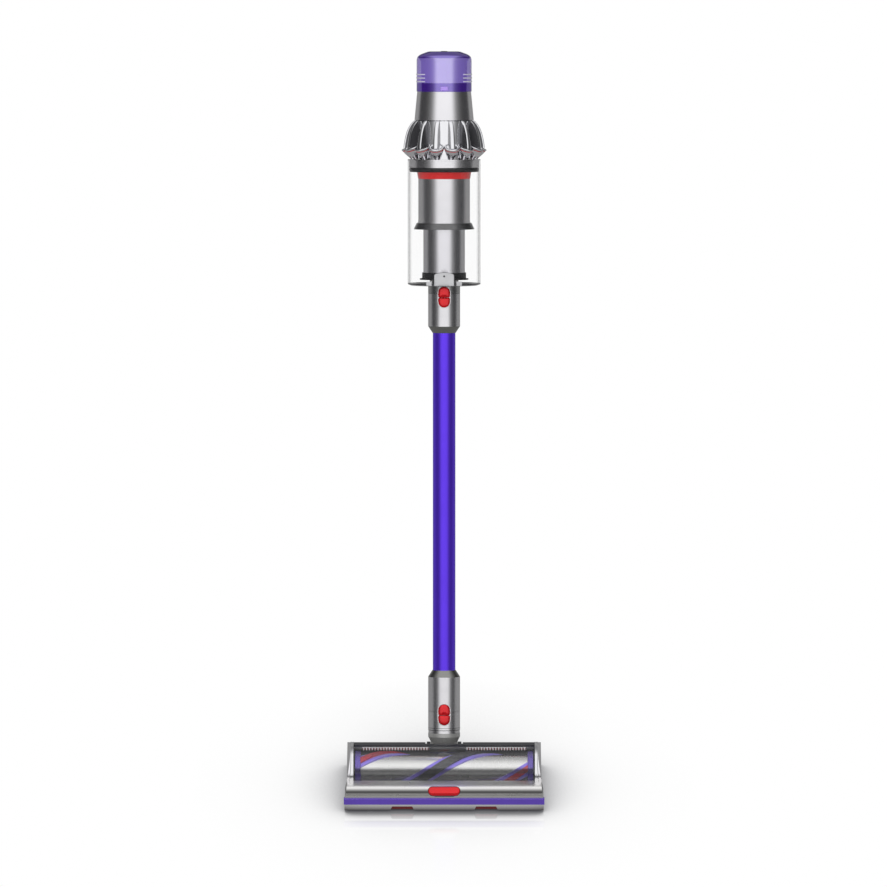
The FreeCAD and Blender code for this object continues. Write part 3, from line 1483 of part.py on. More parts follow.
def sill():
    owner = extruded("front_sill", "head", [
        ("-sill_front", "sill_low + sweep_gap"),
        ("-sill_front + sweep_gap", "sill_low"),
        ("-sill_back", "sill_low"),
        ("-sill_back", "bumper_low - seat_gap"),
        ("-sill_front", "bumper_low - seat_gap"),
    ], "sill_length")
    add_along(owner, "YZ_Plane",
              lambda s: box_outline(s, "-beam_front", "-fascia_back", "bumper_low - sweep_gap",
                                    "fascia_top - fascia_wall - seat_gap"),
              "shell_length", SideType="Symmetric")
    slot_back = "-sill_front + gate_wall + gate_thickness + 2 * running_gap"
    cut_along(owner, "YZ_Plane",
              lambda s: box_outline(s, "-sill_front + gate_wall", slot_back,
                                    "sill_low + gate_floor", "bumper_low"),
              "gate_spacing + gate_width + 4 * gate_travel + 2 * running_gap",
              SideType="Symmetric")
    for side in (-1, 1):
        middle = f"{side} * gate_spacing / 2"
        cut_along(owner, "XZ_Plane",
                  lambda s: outline(s, [
                      (f"{middle} - gate_width / 2", "sill_low - gate_floor"),
                      (f"{middle} + gate_width / 2", "sill_low - gate_floor"),
                      (f"{middle} + gate_width / 2 - gate_slant", "sill_low + gate_height"),
                      (f"{middle} - gate_width / 2 + gate_slant", "sill_low + gate_height"),
                  ]),
                  "2 * gate_wall", offset="sill_front - gate_wall - running_gap", Reversed=True)
    wheel_well(owner, "front", -1)
    return owner


def gate_bar():
    """Two gates on one bar, moved by the slider's stem."""
    front = "(sill_front - gate_wall - running_gap)"
    owner = body("gate_bar", "head")
    low = "sill_low + gate_floor + running_gap"
    add_along(owner, "XZ_Plane",
              lambda s: box_outline(s, "-gate_spacing / 2 - gate_width / 2 - gate_travel",
                                    "gate_spacing / 2 + gate_width / 2 + gate_travel",
                                    low, "bumper_low - gate_floor"),
              "gate_thickness", offset=f"{front} - gate_thickness")
    shelf = "fascia_top - fascia_roll_radius - seat_gap"
    add_along(owner, "YZ_Plane",
              lambda s: outline(s, [
                  (f"-{front}", low),
                  (f"-{front} + gate_thickness", low),
                  (f"-{front} + gate_thickness", f"{shelf} - gate_thickness"),
                  ("-fascia_front + fascia_roll_radius - slider_stem_root", f"{shelf} - gate_thickness"),
                  ("-fascia_front + fascia_roll_radius - slider_stem_root", shelf),
                  (f"-{front}", shelf),
              ]),
              "slider_stem_width", SideType="Symmetric")


def slider():
    """A round-ended slider that lies on the roll and moves along it."""
    low, high = "-slider_length / 2", "slider_length / 2"
    foot = "fascia_roll_radius + running_gap"
    owner = turned_about_x("suction_slider", "roll", [
        (low, foot),
        (high, foot),
        (high, f"{foot} + slider_proud"),
        (low, f"{foot} + slider_proud"),
    ])
    wide = "slider_length"

    def around(profile):
        box_outline(profile, f"-{wide}", wide, f"-{wide}", wide)
        capsule(profile, "0", low, high, "slider_height", upright=False)

    cut_along(owner, "XZ_Plane", around, wide, SideType="Symmetric")
    cut_along(owner, "XZ_Plane", lambda s: box_outline(s, f"-{wide}", wide, f"-{wide}", wide), wide)
    add_along(owner, "XZ_Plane",
              lambda s: box_outline(s, "-slider_stem_width / 2", "slider_stem_width / 2",
                                    "-slider_stem_height / 2", "slider_stem_height / 2"),
              f"{foot} + slider_proud / 2 - slider_stem_root", offset="slider_stem_root")


# ---------------------------------------------------------------- wheels and yoke

def wheels(label, kind, sides, depth):
    """Small wheels with their stub axles moulded on."""
    owner = body(label, "head")
    for side in sides:
        for radius, width in (
            (f"{kind}_wheel_radius", f"{kind}_wheel_width"),
            ("wheel_axle_radius", f"2 * {kind}_wheel_width"),
        ):
            add_along(owner, "YZ_Plane",
                      lambda s: ring(s, f"{depth} * abs({kind}_wheel_y)",
                                     f"{kind}_wheel_radius", radius),
                      width, offset=f"{side} * {kind}_wheel_x - ({width}) / 2")


def yoke():
    """A saddle with two ears that carry the neck's barrel."""
    base_top = "neck_notch_floor + yoke_base"
    inner = "(barrel_width / 2 + running_gap)"
    owner = extruded("neck_yoke", "head", [
        ("pivot_back - ear_radius", "neck_notch_floor + seat_gap"),
        ("pivot_back + ear_radius", "neck_notch_floor + seat_gap"),
        ("pivot_back + ear_radius", base_top),
        ("pivot_back - ear_radius", base_top),
    ], f"2 * {inner} + 2 * ear_thickness")

    def ear(profile):
        outline(profile, [
            ("pivot_back - ear_radius", "neck_notch_floor + yoke_base / 2"),
            ("pivot_back + ear_radius", "neck_notch_floor + yoke_base / 2"),
            ("pivot_back + ear_radius", "pivot_height", "ear_radius", 1),
            ("pivot_back", "pivot_height + ear_radius", "ear_radius", 1),
            ("pivot_back - ear_radius", "pivot_height"),
        ])

    add_along(owner, "YZ_Plane", ear, "ear_thickness", offset=inner)
    add_along(owner, "YZ_Plane", ear, "ear_thickness", offset=f"-{inner}", Reversed=True)
    cut_along(owner, "YZ_Plane",
              lambda s: ring(s, "pivot_back", "pivot_height", "neck_pin_radius + pin_gap"),
              f"4 * {inner}", SideType="Symmetric")
    pins = body("neck_pins", "head")
    for side in (-1, 1):
        add_along(pins, "YZ_Plane",
                  lambda s: ring(s, "pivot_back", "pivot_height", "neck_pin_radius"),
                  "2 * ear_thickness", offset=f"{side} * ({inner} - ear_thickness)",
                  Reversed=side < 0)


# ---------------------------------------------------------------- the whole

def build():
    neck_knuckle()
    swivel_ring()
    cuff()
    rocker("cuff_release_button", "lower_rocker")
    wand()
    rocker("wand_release_button", "upper_rocker")
    inlet()
    bin_base()
    bin_shell()
    separator()
    cyclone_core()
    cyclone_fingers()
    cyclone_lips()
    motor_housing()
    motor()
    filter_unit()
    filter_media()
    display()
    bridge()
    grip()
    trigger()
    foot()
    battery()
    bin_lever()
    brush_core()
    brush_rings()
    brush_drive()
    brush_strips()
    roller_window()
    head_shell()
    sole_plate()
    comb()
    fascia()
    bumper()
    sill()
    gate_bar()
    slider()
    yoke()
    for name, side in (("left", -1), ("right", 1)):
        end_cap(f"end_cap_{name}", side)
        wheels(f"rear_wheel_{name}", "rear", [side], 1)
    wheels("front_wheels", "front", [-1, 1], -1)


def export():
    doc.recompute()
    failed = [o.Label for o in doc.Objects if {"Invalid", "Error"} & set(o.State)]
    failed += [p.Label for p in parts if p.Shape.isNull() or not p.Shape.isValid()]
    if failed:
        raise RuntimeError(f"not built: {failed}")
    os.makedirs("parts", exist_ok=True)
    for item in parts:
        item.Shape.exportStep(f"parts/{item.Label}.step")
    print(f"{len(parts)} parts written")


build()
export()
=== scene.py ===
import json
import math
import random
import bmesh
import bpy
from mathutils import Matrix, Vector


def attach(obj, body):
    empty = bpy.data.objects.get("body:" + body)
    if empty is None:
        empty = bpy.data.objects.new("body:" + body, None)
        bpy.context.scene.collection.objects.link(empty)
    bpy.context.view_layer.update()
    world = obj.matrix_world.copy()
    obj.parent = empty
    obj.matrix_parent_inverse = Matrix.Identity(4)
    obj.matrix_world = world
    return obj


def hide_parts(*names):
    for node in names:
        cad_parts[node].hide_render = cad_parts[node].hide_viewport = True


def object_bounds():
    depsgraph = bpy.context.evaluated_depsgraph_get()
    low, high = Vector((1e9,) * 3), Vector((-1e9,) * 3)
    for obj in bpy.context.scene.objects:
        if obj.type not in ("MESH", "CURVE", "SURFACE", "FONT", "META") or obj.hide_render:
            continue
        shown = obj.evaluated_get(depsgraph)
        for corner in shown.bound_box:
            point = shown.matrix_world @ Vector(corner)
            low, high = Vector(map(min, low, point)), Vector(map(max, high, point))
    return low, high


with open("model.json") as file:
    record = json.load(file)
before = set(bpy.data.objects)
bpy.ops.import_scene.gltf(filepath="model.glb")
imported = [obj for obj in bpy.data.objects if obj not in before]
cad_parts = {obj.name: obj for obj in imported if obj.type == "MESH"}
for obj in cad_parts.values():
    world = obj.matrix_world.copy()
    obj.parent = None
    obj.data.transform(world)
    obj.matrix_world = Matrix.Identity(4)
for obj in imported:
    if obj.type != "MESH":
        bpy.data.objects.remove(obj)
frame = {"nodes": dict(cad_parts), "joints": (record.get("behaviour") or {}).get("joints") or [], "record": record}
CAD_BOX = [list(corner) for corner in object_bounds()]
NODES = frame["nodes"]
JOINTS = {joint["name"]: joint for joint in frame["joints"]}
MM = 0.001

# Lengths written as numbers are in mm unless their comment says otherwise.

# ------------------------------------------------------------------ the stick's own frame

PIVOT = Vector(JOINTS["neck_pitch"]["pos_m"])
UP = Vector(JOINTS["neck_twist"]["axis"]).normalized()
RIGHT = Vector((1, 0, 0))
BACK = UP.cross(RIGHT)
ROLLER = Vector(JOINTS["brush_spin"]["pos_m"])


def frame_at(x, y, z, origin):
    return Matrix((
        (x.x, y.x, z.x, origin.x),
        (x.y, y.y, z.y, origin.y),
        (x.z, y.z, z.z, origin.z),
        (0, 0, 0, 1),
    ))


STICK = frame_at(RIGHT, BACK, UP, PIVOT)
TO_STICK = STICK.inverted()


def stick_points(node):
    return [TO_STICK @ v.co for v in NODES[node].data.vertices]


def low(node):
    """Lowest height of a CAD node along the stick."""
    return min(p.z for p in stick_points(node)) / MM


def high(node):
    """Highest height of a CAD node along the stick."""
    return max(p.z for p in stick_points(node)) / MM


def reach(node):
    """Largest radius of a CAD node about the stick's axis."""
    return max(math.hypot(p.x, p.y) for p in stick_points(node)) / MM


def box_of(node):
    """Lowest and highest x, y and z of a CAD node."""
    points = [v.co for v in NODES[node].data.vertices]
    return [(min(p[i] for p in points) / MM, max(p[i] for p in points) / MM) for i in range(3)]


def level(u):
    """A height along the stick as a distance in metres along UP from the world's origin."""
    return (STICK @ Vector((0, 0, u * MM))).dot(UP)


# ------------------------------------------------------------------ material building blocks

GRAIN_DEPTH = 0.00001       # metres
GRAIN_STRENGTH = 0.2
COAT_ROUGHNESS = 0.06
BAND_EDGE = 0.00008         # metres: half the width of the change between two tones
PLASTIC_IOR = 1.5


def node_of(tree, kind):
    return next(node for node in tree.nodes if node.type == kind)


def tree_of(name):
    material = bpy.data.materials.new(name)
    material.use_nodes = True
    tree = material.node_tree
    return material, tree, node_of(tree, "BSDF_PRINCIPLED")


def plug(tree, source, socket):
    """Feed a socket from another node's socket, a colour or a number."""
    if isinstance(source, tuple):
        socket.default_value = (*source, 1)
    elif isinstance(source, (int, float)):
        socket.default_value = source
    else:
        tree.links.new(source, socket)


def math_node(tree, operation, *values):
    node = tree.nodes.new("ShaderNodeMath")
    node.operation = operation
    for socket, value in zip(node.inputs, values):
        plug(tree, value, socket)
    return node.outputs[0]


def mix_colours(tree, factor, first, second, kind="MIX"):
    node = tree.nodes.new("ShaderNodeMix")
    node.data_type = "RGBA"
    node.blend_type = kind
    plug(tree, factor, node.inputs["Factor"])
    plug(tree, first, node.inputs["A"])
    plug(tree, second, node.inputs["B"])
    return node.outputs["Result"]


def noise(tree, scale, detail=3.0, stretch=None):
    coordinates = tree.nodes.new("ShaderNodeTexCoord")
    texture = tree.nodes.new("ShaderNodeTexNoise")
    texture.inputs["Scale"].default_value = scale
    texture.inputs["Detail"].default_value = detail
    source = coordinates.outputs["Object"]
    if stretch:
        mapping = tree.nodes.new("ShaderNodeMapping")
        mapping.inputs["Scale"].default_value = stretch
        tree.links.new(source, mapping.inputs["Vector"])
        source = mapping.outputs["Vector"]
    tree.links.new(source, texture.inputs["Vector"])
    return texture.outputs["Fac"]


def ramp(tree, source, stops):
    """A colour ramp with a stop at each (place, colour)."""
    node = tree.nodes.new("ShaderNodeValToRGB")
    elements = node.color_ramp.elements
    while len(elements) < len(stops):
        elements.new(0.5)
    for element, (place, colour) in zip(elements, stops):
        element.position = place
        element.color = (*colour, 1)
    tree.links.new(source, node.inputs["Fac"])
    return node.outputs["Color"]


def spread_value(tree, source, lowest, highest, start=0.0, end=1.0):
    """Turn start..end into lowest..highest."""
    node = tree.nodes.new("ShaderNodeMapRange")
    node.inputs["From Min"].default_value = start
    node.inputs["From Max"].default_value = end
    node.inputs["To Min"].default_value = lowest
    node.inputs["To Max"].default_value = highest
    tree.links.new(source, node.inputs["Value"])
    return node.outputs["Result"]


def along(tree, direction):
    """How far a point lies along a fixed direction, in metres."""
    coordinates = tree.nodes.new("ShaderNodeTexCoord")
    dot = tree.nodes.new("ShaderNodeVectorMath")
    dot.operation = "DOT_PRODUCT"
    dot.inputs[1].default_value = direction
    tree.links.new(coordinates.outputs["Object"], dot.inputs[0])
    return dot.outputs["Value"]


def bump(tree, shader, source, depth=GRAIN_DEPTH):
    node = tree.nodes.new("ShaderNodeBump")
    node.inputs["Strength"].default_value = GRAIN_STRENGTH
    node.inputs["Distance"].default_value = depth
    tree.links.new(source, node.inputs["Height"])
    tree.links.new(node.outputs["Normal"], shader.inputs["Normal"])


def uneven_gloss(tree, shader, lowest, highest, scale=60, detail=5):
    """Roughness that wanders between two values."""
    plug(tree, spread_value(tree, noise(tree, scale, detail), lowest, highest),
         shader.inputs["Roughness"])


def finish_of(name, colour, rough, metallic=0.0, grain=900, coat=0.0, coat_ior=1.5, tint=0.06,
              depth=GRAIN_DEPTH, stretch=None, mottle=18, sheen=0.0):
    """A moulded, painted or plated surface: fine grain, slight mottling and uneven gloss."""
    material, tree, shader = tree_of(name)
    darker = tuple(c * (1 - tint) for c in colour)
    lighter = tuple(min(1, c * (1 + tint)) for c in colour)
    tone = ramp(tree, noise(tree, mottle, 4, stretch), [(0.3, darker), (0.7, lighter)])
    tree.links.new(tone, shader.inputs["Base Color"])
    uneven_gloss(tree, shader, rough * 0.9, rough * 1.15)
    shader.inputs["Metallic"].default_value = metallic
    shader.inputs["Coat Weight"].default_value = coat
    shader.inputs["Coat Roughness"].default_value = COAT_ROUGHNESS
    shader.inputs["Coat IOR"].default_value = coat_ior
    shader.inputs["Sheen Weight"].default_value = sheen
    bump(tree, shader, noise(tree, grain, 2, stretch), depth)
    return material


def clear(name, colour, rough, face_alpha, edge_alpha, weight_blend=0.25):
    """Thin clear plastic: nearly unseen face on, greyer where the wall is seen edge on."""
    material, tree, shader = tree_of(name)
    shader.inputs["Base Color"].default_value = (*colour, 1)
    shader.inputs["IOR"].default_value = PLASTIC_IOR
    weight = tree.nodes.new("ShaderNodeLayerWeight")
    weight.inputs["Blend"].default_value = weight_blend
    facing = spread_value(tree, weight.outputs["Facing"], face_alpha, edge_alpha, 0.35, 1.0)
    tree.links.new(facing, shader.inputs["Alpha"])
    uneven_gloss(tree, shader, rough * 0.7, rough * 1.4, 40, 4)
    return material


def frosted(name, colour, alpha):
    """Moulded plastic that lets some light through."""
    material, tree, shader = tree_of(name)
    darker = tuple(c * 0.93 for c in colour)
    tone = ramp(tree, noise(tree, 90, 4), [(0.35, darker), (0.65, colour)])
    tree.links.new(tone, shader.inputs["Base Color"])
    uneven_gloss(tree, shader, 0.22, 0.34, 60, 4)
    shader.inputs["Alpha"].default_value = alpha
    return material


# ------------------------------------------------------------------ finishes

GREY = (0.86, 0.85, 0.87)
GUNMETAL = (0.30, 0.30, 0.285)
CAP_FOOT_HEIGHT = 13.7      # the filter cap is solid colour below this height ...
CAP_CROWN_DEPTH = 10.5      # ... and above this depth from its top
CAP_BAND_EDGE = 0.0003      # metres


def tinted_cap():
    """Violet polycarbonate: see-through round the paper, solid colour at the foot and the crown."""
    material, tree, shader = tree_of("violet_polycarbonate")
    height = along(tree, UP)
    foot = level(low("filter_cap") + CAP_FOOT_HEIGHT)
    crown = level(high("filter_cap") - CAP_CROWN_DEPTH)
    over_foot = spread_value(tree, height, 0.0, 1.0, foot - CAP_BAND_EDGE, foot + CAP_BAND_EDGE)
    under_crown = spread_value(
        tree, height, 1.0, 0.0, crown - CAP_BAND_EDGE, crown + CAP_BAND_EDGE)
    window = math_node(tree, "MULTIPLY", over_foot, under_crown)
    deep = ramp(tree, noise(tree, 22, 3), [(0.3, (0.085, 0.003, 0.52)), (0.7, (0.10, 0.005, 0.58))])
    tree.links.new(mix_colours(tree, window, deep, (0.38, 0.25, 1.0)), shader.inputs["Base Color"])
    for socket, solid, see_through in (
            ("Alpha", 0.94, 0.78), ("Metallic", 0.6, 0.15), ("Coat Weight", 0.55, 1.0)):
        tree.links.new(spread_value(tree, window, solid, see_through), shader.inputs[socket])
    uneven_gloss(tree, shader, 0.10, 0.16, 50, 4)
    shader.inputs["Coat IOR"].default_value = 4.4
    return material


def banded_nickel(name, edge, below, above):
    """Nickel whose tone changes at one height, as where a second part is pressed on."""
    material, tree, shader = tree_of(name)
    edge = level(edge)
    step = spread_value(tree, along(tree, UP), 0.0, 1.0, edge - BAND_EDGE, edge + BAND_EDGE)
    speck = ramp(tree, noise(tree, 24, 4), [(0.3, (0.94, 0.94, 0.94)), (0.7, (1, 1, 1))])
    tone = mix_colours(tree, step, below, above)
    tree.links.new(mix_colours(tree, 1, tone, speck, "MULTIPLY"), shader.inputs["Base Color"])
    uneven_gloss(tree, shader, 0.24 * 0.9, 0.24 * 1.15)
    shader.inputs["Metallic"].default_value = 1.0
    bump(tree, shader, noise(tree, 1100, 2))
    return material


def shade_painted_by_height(name, node, stops, gloss, grain, span=None):
    """Metal with shade painted into its tone, following the height inside a CAD node.

    stops: (share of the way up, colour). span: how far up the last stop lies, else the node's top.
    """
    material, tree, shader = tree_of(name)
    lowest, highest = (z * MM for z in box_of(node)[2])
    if span:
        highest = lowest + span * MM
    rise = spread_value(tree, along(tree, (0, 0, 1)), 0.0, 1.0, lowest, highest)
    tree.links.new(ramp(tree, rise, stops), shader.inputs["Base Color"])
    shader.inputs["Metallic"].default_value = 1.0
    uneven_gloss(tree, shader, *gloss)
    bump(tree, shader, noise(tree, grain, 2))
    return material


def painted_shade_window(name, stops):
    """Thin clear cover with shade painted along its lower and upper edges, so the roller looks shaded there.

    stops: (height, how dense the painted shade is), lowest first.
    """
    # the second colour is the tone of the painted shade
    plain, shade_colour = (0.75, 0.75, 0.77), (0.03, 0.03, 0.033)
    material = clear(name, plain, 0.05, 0.05, 0.5)
    tree = material.node_tree
    shader = node_of(tree, "BSDF_PRINCIPLED")
    lowest, highest = stops[0][0], stops[-1][0]
    rise = spread_value(tree, along(tree, (0, 0, 1)), 0.0, 1.0, lowest * MM, highest * MM)
    painted_shade = ramp(tree, rise, [
        ((z - lowest) / (highest - lowest), (tone, tone, tone)) for z, tone in stops])
    shade = spread_value(tree, painted_shade, 0.0, 1.0, 0.0, 0.3)
    tree.links.new(mix_colours(tree, shade, plain, shade_colour), shader.inputs["Base Color"])
    clear_alpha = shader.inputs["Alpha"].links[0].from_socket
    tree.links.new(math_node(tree, "MAXIMUM", clear_alpha, painted_shade), shader.inputs["Alpha"])
    return material


MATERIALS = {
    "violet_aluminium": finish_of("violet_anodised", (0.15, 0.055, 0.96), 0.30, 0.8, 1400,
                                  tint=0.03),
    "nickel": finish_of("nickel_finish", GREY, 0.22, 1.0, 1100, tint=0.03),
    "graphite": finish_of("graphite_plastic", (0.055, 0.056, 0.062), 0.36, 0.3, 700),
    "red": finish_of("red_gloss", (0.72, 0.002, 0.008), 0.22, 0.55, 500, coat=0.6),
    "clear": clear("clear_polycarbonate", (0.45, 0.45, 0.47), 0.05, 0.012, 0.75),
    "violet_clear": tinted_cap(),
    "violet_plastic": finish_of("violet_plastic", (0.11, 0.05, 0.46), 0.25, 0.2, 600, coat=0.6),
    "black_rubber": finish_of("black_rubber", (0.012, 0.012, 0.013), 0.4, 0.0, 500),
    "chrome": finish_of("plated", (0.86, 0.86, 0.88), 0.07, 1.0, 300, tint=0.01),
    "carbon": finish_of("carbon_filament", (0.07, 0.07, 0.075), 0.28, 0.8, 2400,
                        stretch=(1, 6, 6), tint=0.5, mottle=90, depth=0.0001),
    "nylon": finish_of("red_nylon", (0.55, 0.02, 0.05), 0.45, 0.1, 2400,
                       stretch=(1, 6, 6), tint=0.4, mottle=120, depth=0.0001),
    "fin": finish_of("violet_pile", (0.30, 0.22, 0.92), 0.45, 0.2, 2000, sheen=0.5),
    "pleats": finish_of("pleated_paper", (0.90, 0.86, 0.97), 0.40, 0.55, 900,
                        stretch=(9, 9, 0.2)),
    "steel": finish_of("steel", (0.62, 0.62, 0.64), 0.3, 1.0, 900),
    "comb_white": finish_of("pale_comb", (0.86, 0.84, 0.85), 0.35, 0.0, 600),
    "black_glass": finish_of("black_glass", (0.01, 0.01, 0.014), 0.05, 0.0, 200, coat=0.5),
    "dark_metal": finish_of("motor_metal", (0.20, 0.19, 0.20), 0.4, 0.7, 600),
}

SLOT_OF = {row["node"]: row["material_slot"] for row in frame["record"]["subparts"]}
for node, item in NODES.items():
    item.data.materials.clear()
    item.data.materials.append(MATERIALS[SLOT_OF[node]])

COLLAR_BAND = 10.7          # length of the gunmetal end of each wand collar
# Painted shade on the fascia's roll: a dark band across its middle, as (share of the way up, colour).
FASCIA_SHADE_STOPS = [(share, (tone, tone * 0.99, tone * 0.97)) for share, tone in (
    (0.0, 0.84), (0.38, 0.84), (0.50, 0.20), (0.60, 0.06), (0.70, 0.12), (0.80, 0.36),
    (0.90, 0.78), (0.96, 0.88))]
# Painted shade on the front sill: darker towards the floor.
SILL_SHADE_STOPS = [(0.0, (0.05, 0.05, 0.05)), (0.35, (0.40, 0.38, 0.38)), (0.8, (0.85, 0.84, 0.84))]
# (height, density) of the shade painted on the roller window, over the roller
WINDOW_SHADE_STOPS = [(43, 0.22), (50, 0.30), (53.5, 0.50), (56.3, 0.46), (60.6, 0.0), (69.2, 0.0),
                (72.8, 0.28), (76, 0.44)]
OWN_FINISHES = {
    "wand_upper_collar": banded_nickel(
        "upper_collar_finish", low("wand_upper_collar") + COLLAR_BAND, GUNMETAL, GREY),
    "wand_lower_collar": banded_nickel(
        "lower_collar_finish", high("wand_lower_collar") - COLLAR_BAND, GREY, GUNMETAL),
    "neck_knuckle": finish_of("knuckle_nickel", (0.46, 0.46, 0.45), 0.30, 0.45, 900),
    "inner_duct": finish_of("duct_nickel", (0.84, 0.83, 0.86), 0.24, 1.0, 1500, tint=0.02),
    "inlet_collar": finish_of("inlet_gunmetal", (0.55, 0.55, 0.55), 0.26, 1.0, 900, tint=0.03),
    "bin_base": finish_of("base_black", (0.015, 0.015, 0.017), 0.2, 0.0, 500, coat=1.0),
    "shroud_collar": finish_of("band_red", (0.74, 0.018, 0.018), 0.3, 0.1, 500, coat=0.8),
    "shroud_skirt": finish_of("skirt_black", (0.02, 0.02, 0.022), 0.25, 0.0, 500, coat=1.0,
                              coat_ior=2.0),
    "shroud_mesh": finish_of("shroud_nickel", GREY, 0.25, 1.0, 1100, tint=0.03),
    "brush_core": finish_of("brush_core_finish", (0.88, 0.88, 0.86), 0.26, 1.0, 900, tint=0.03),
    "front_fascia": shade_painted_by_height(
        "fascia_painted_shade", "front_fascia", FASCIA_SHADE_STOPS, (0.25, 0.32), 1000),
    "front_sill": shade_painted_by_height(
        "sill_painted_shade", "front_sill", SILL_SHADE_STOPS, (0.2, 0.26), 1100, span=12),
    "gate_bar": finish_of("gate_dark_red", (0.14, 0.004, 0.005), 0.35, 0.0, 500),
    # painted shade along the roller window's lower and upper edges
    "roller_window": painted_shade_window("window_painted_shade", WINDOW_SHADE_STOPS),
}
for node, material in OWN_FINISHES.items():
    NODES[node].data.materials[0] = material

SEAM = finish_of("seam_shadow", (0.03, 0.03, 0.03), 0.5, 0.0, 400)
CHROME_TRIM = finish_of("trim_chrome", (0.86, 0.86, 0.87), 0.14, 1.0, 500, tint=0.01)


# ------------------------------------------------------------------ making pieces

WELD = 1e-6                 # metres: points closer than this are joined


def piece(name, points, faces, body, slot, material=None, sharp=32):
    """A mesh piece in the row's frame that rides on a body and takes a slot's finish."""
    mesh = bpy.data.meshes.new(name)
    mesh.from_pydata([tuple(p) for p in points], [], faces)
    work = bmesh.new()
    work.from_mesh(mesh)
    bmesh.ops.remove_doubles(work, verts=work.verts, dist=WELD)
    bmesh.ops.recalc_face_normals(work, faces=work.faces)
    work.to_mesh(mesh)
    work.free()
    mesh.shade_smooth()
    mesh.set_sharp_from_angle(angle=math.radians(sharp))
    mesh.materials.append(material or MATERIALS[slot])
    item = bpy.data.objects.new(name, mesh)
    bpy.context.scene.collection.objects.link(item)
    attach(item, body)
    return item


def lathe(profile, matrix, steps=96, start=0.0, sweep=2 * math.pi):
    """Points and faces of a closed profile of (radius, height) turned about a frame's Z axis."""
    whole = abs(sweep - 2 * math.pi) < 1e-9
    turns = steps if whole else steps + 1
    points, faces = [], []
    for i in range(turns):
        angle = start + sweep * i / steps
        c, s = math.cos(angle), math.sin(angle)
        points += [matrix @ (Vector((r * c, r * s, z)) * MM) for r, z in profile]
    count = len(profile)
    for i in range(steps):
        j = (i + 1) % turns
        for k in range(count):
            n = (k + 1) % count
            faces.append((i * count + k, i * count + n, j * count + n, j * count + k))
    if not whole:
        faces.append(tuple(range(count)))
        faces.append(tuple(range((turns - 1) * count, turns * count)))
    return points, faces


def loft(rings, closed_ends=True):
    """Points and faces that join rings of as many points each."""
    count = len(rings[0])
    points = [p for ring in rings for p in ring]
    faces = []
    for i in range(len(rings) - 1):
        for k in range(count):
            n = (k + 1) % count
            faces.append((i * count + k, i * count + n, (i + 1) * count + n, (i + 1) * count + k))
    if closed_ends:
        faces.append(tuple(range(count)))
        faces.append(tuple(range((len(rings) - 1) * count, len(rings) * count)))
    return points, faces


def merged(parts):
    """Points and faces of several parts as one."""
    points, faces = [], []
    for some_points, some_faces in parts:
        base = len(points)
        points += some_points
        faces += [tuple(base + i for i in face) for face in some_faces]
    return points, faces


def turns_of(steps):
    return [2 * math.pi * k / steps for k in range(steps)]


def with_normals(path, closed=False):
    """Each point of a flat path with the unit vector at right angles to the path there."""
    last = len(path) - 1
    for i, point in enumerate(path):
        before = path[i - 1 if closed else max(0, i - 1)]
        after = path[(i + 1) % (last + 1) if closed else min(last, i + 1)]
        step = (after[0] - before[0], after[1] - before[1])
        length = math.hypot(*step)
        yield point, (step[1] / length, -step[0] / length)


def bead(path, place, wide, middle, deep, steps, closed=False):
    """Rings of a fine raised line along a path of (across, up), put in space by place()."""
    return [[place(x + nx * wide * math.cos(a), u + nu * wide * math.cos(a),
                   middle + deep * math.sin(a)) for a in turns_of(steps)]
            for (x, u), (nx, nu) in with_normals(path, closed)]


# ------------------------------------------------------------------ filter cap

CAP_FOOT = low("filter_cap")
CAP_TOP = high("filter_cap")
CAP_RADIUS = 44.0
CAP_INSIDE = 41.8
# (radius, depth from the top): up the outside, over to the opening in the crown, down the inside
CAP_CURVE = ((CAP_RADIUS, 15.5), (43.8, 12.6), (43.1, 10.0), (41.7, 7.7), (39.5, 5.8),
             (36.2, 4.1), (32.3, 2.6), (28.5, 1.2), (25.9, 0.3), (25.9, 2.5), (28.5, 3.4),
             (32.1, 4.8), (35.6, 6.3), (38.3, 7.9), (40.2, 9.6), (41.3, 12.0),
             (CAP_INSIDE, 15.5))
cap_profile = [(CAP_INSIDE, CAP_FOOT), (CAP_RADIUS, CAP_FOOT)]
cap_profile += [(radius, CAP_TOP - depth) for radius, depth in CAP_CURVE]
cap = piece("filter_shell", *lathe(cap_profile, STICK, 128), "filter", "violet_clear")
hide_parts("filter_cap")

GRIP_ROWS, GRIP_PITCH = 3, 5.7
GRIP_FIRST = CAP_FOOT_HEIGHT + 2.3
GRIP_HALF_ANGLE = 46        # degrees to each side of the cap's left and right
GRIP_SECTION = ((43.6, -0.9), (44.5, -0.8), (44.85, -0.3), (44.85, 0.3), (44.5, 0.8), (43.6, 0.9))
grips = []
for row in range(GRIP_ROWS):
    height = CAP_FOOT + GRIP_FIRST + GRIP_PITCH * row
    for facing in (180, 0):
        grips.append(lathe(
            [(radius, height + z) for radius, z in GRIP_SECTION], STICK, 24,
            start=math.radians(facing - GRIP_HALF_ANGLE), sweep=math.radians(2 * GRIP_HALF_ANGLE)))
# The grip ribs are pale: a painted highlight along each rib.
piece("filter_grips", *merged(grips), "filter", "violet_clear",
      finish_of("grip_painted_highlight", (0.80, 0.76, 0.95), 0.2, 0.2, 400, coat=1.0))

CATCH_HALF, CATCH_LOW, CATCH_HIGH = 6.0, 2.0, 8.0
catch = []
for inset, proud in ((0.0, -0.6), (0.0, 0.4), (0.6, 0.8)):
    half = CATCH_HALF - inset
    radius = CAP_RADIUS + proud
    front = -math.sqrt(radius ** 2 - half ** 2)
    catch.append([STICK @ (Vector((x, front, CAP_FOOT + z)) * MM) for x, z in (
        (-half, CATCH_LOW + inset), (half, CATCH_LOW + inset),
        (half, CATCH_HIGH - inset), (-half, CATCH_HIGH - inset))])
piece("filter_catch", *loft(catch), "filter", "violet_clear",
      finish_of("catch_violet", (0.45, 0.30, 0.85), 0.3, 0.3, 400))

# ------------------------------------------------------------------ cyclone pack

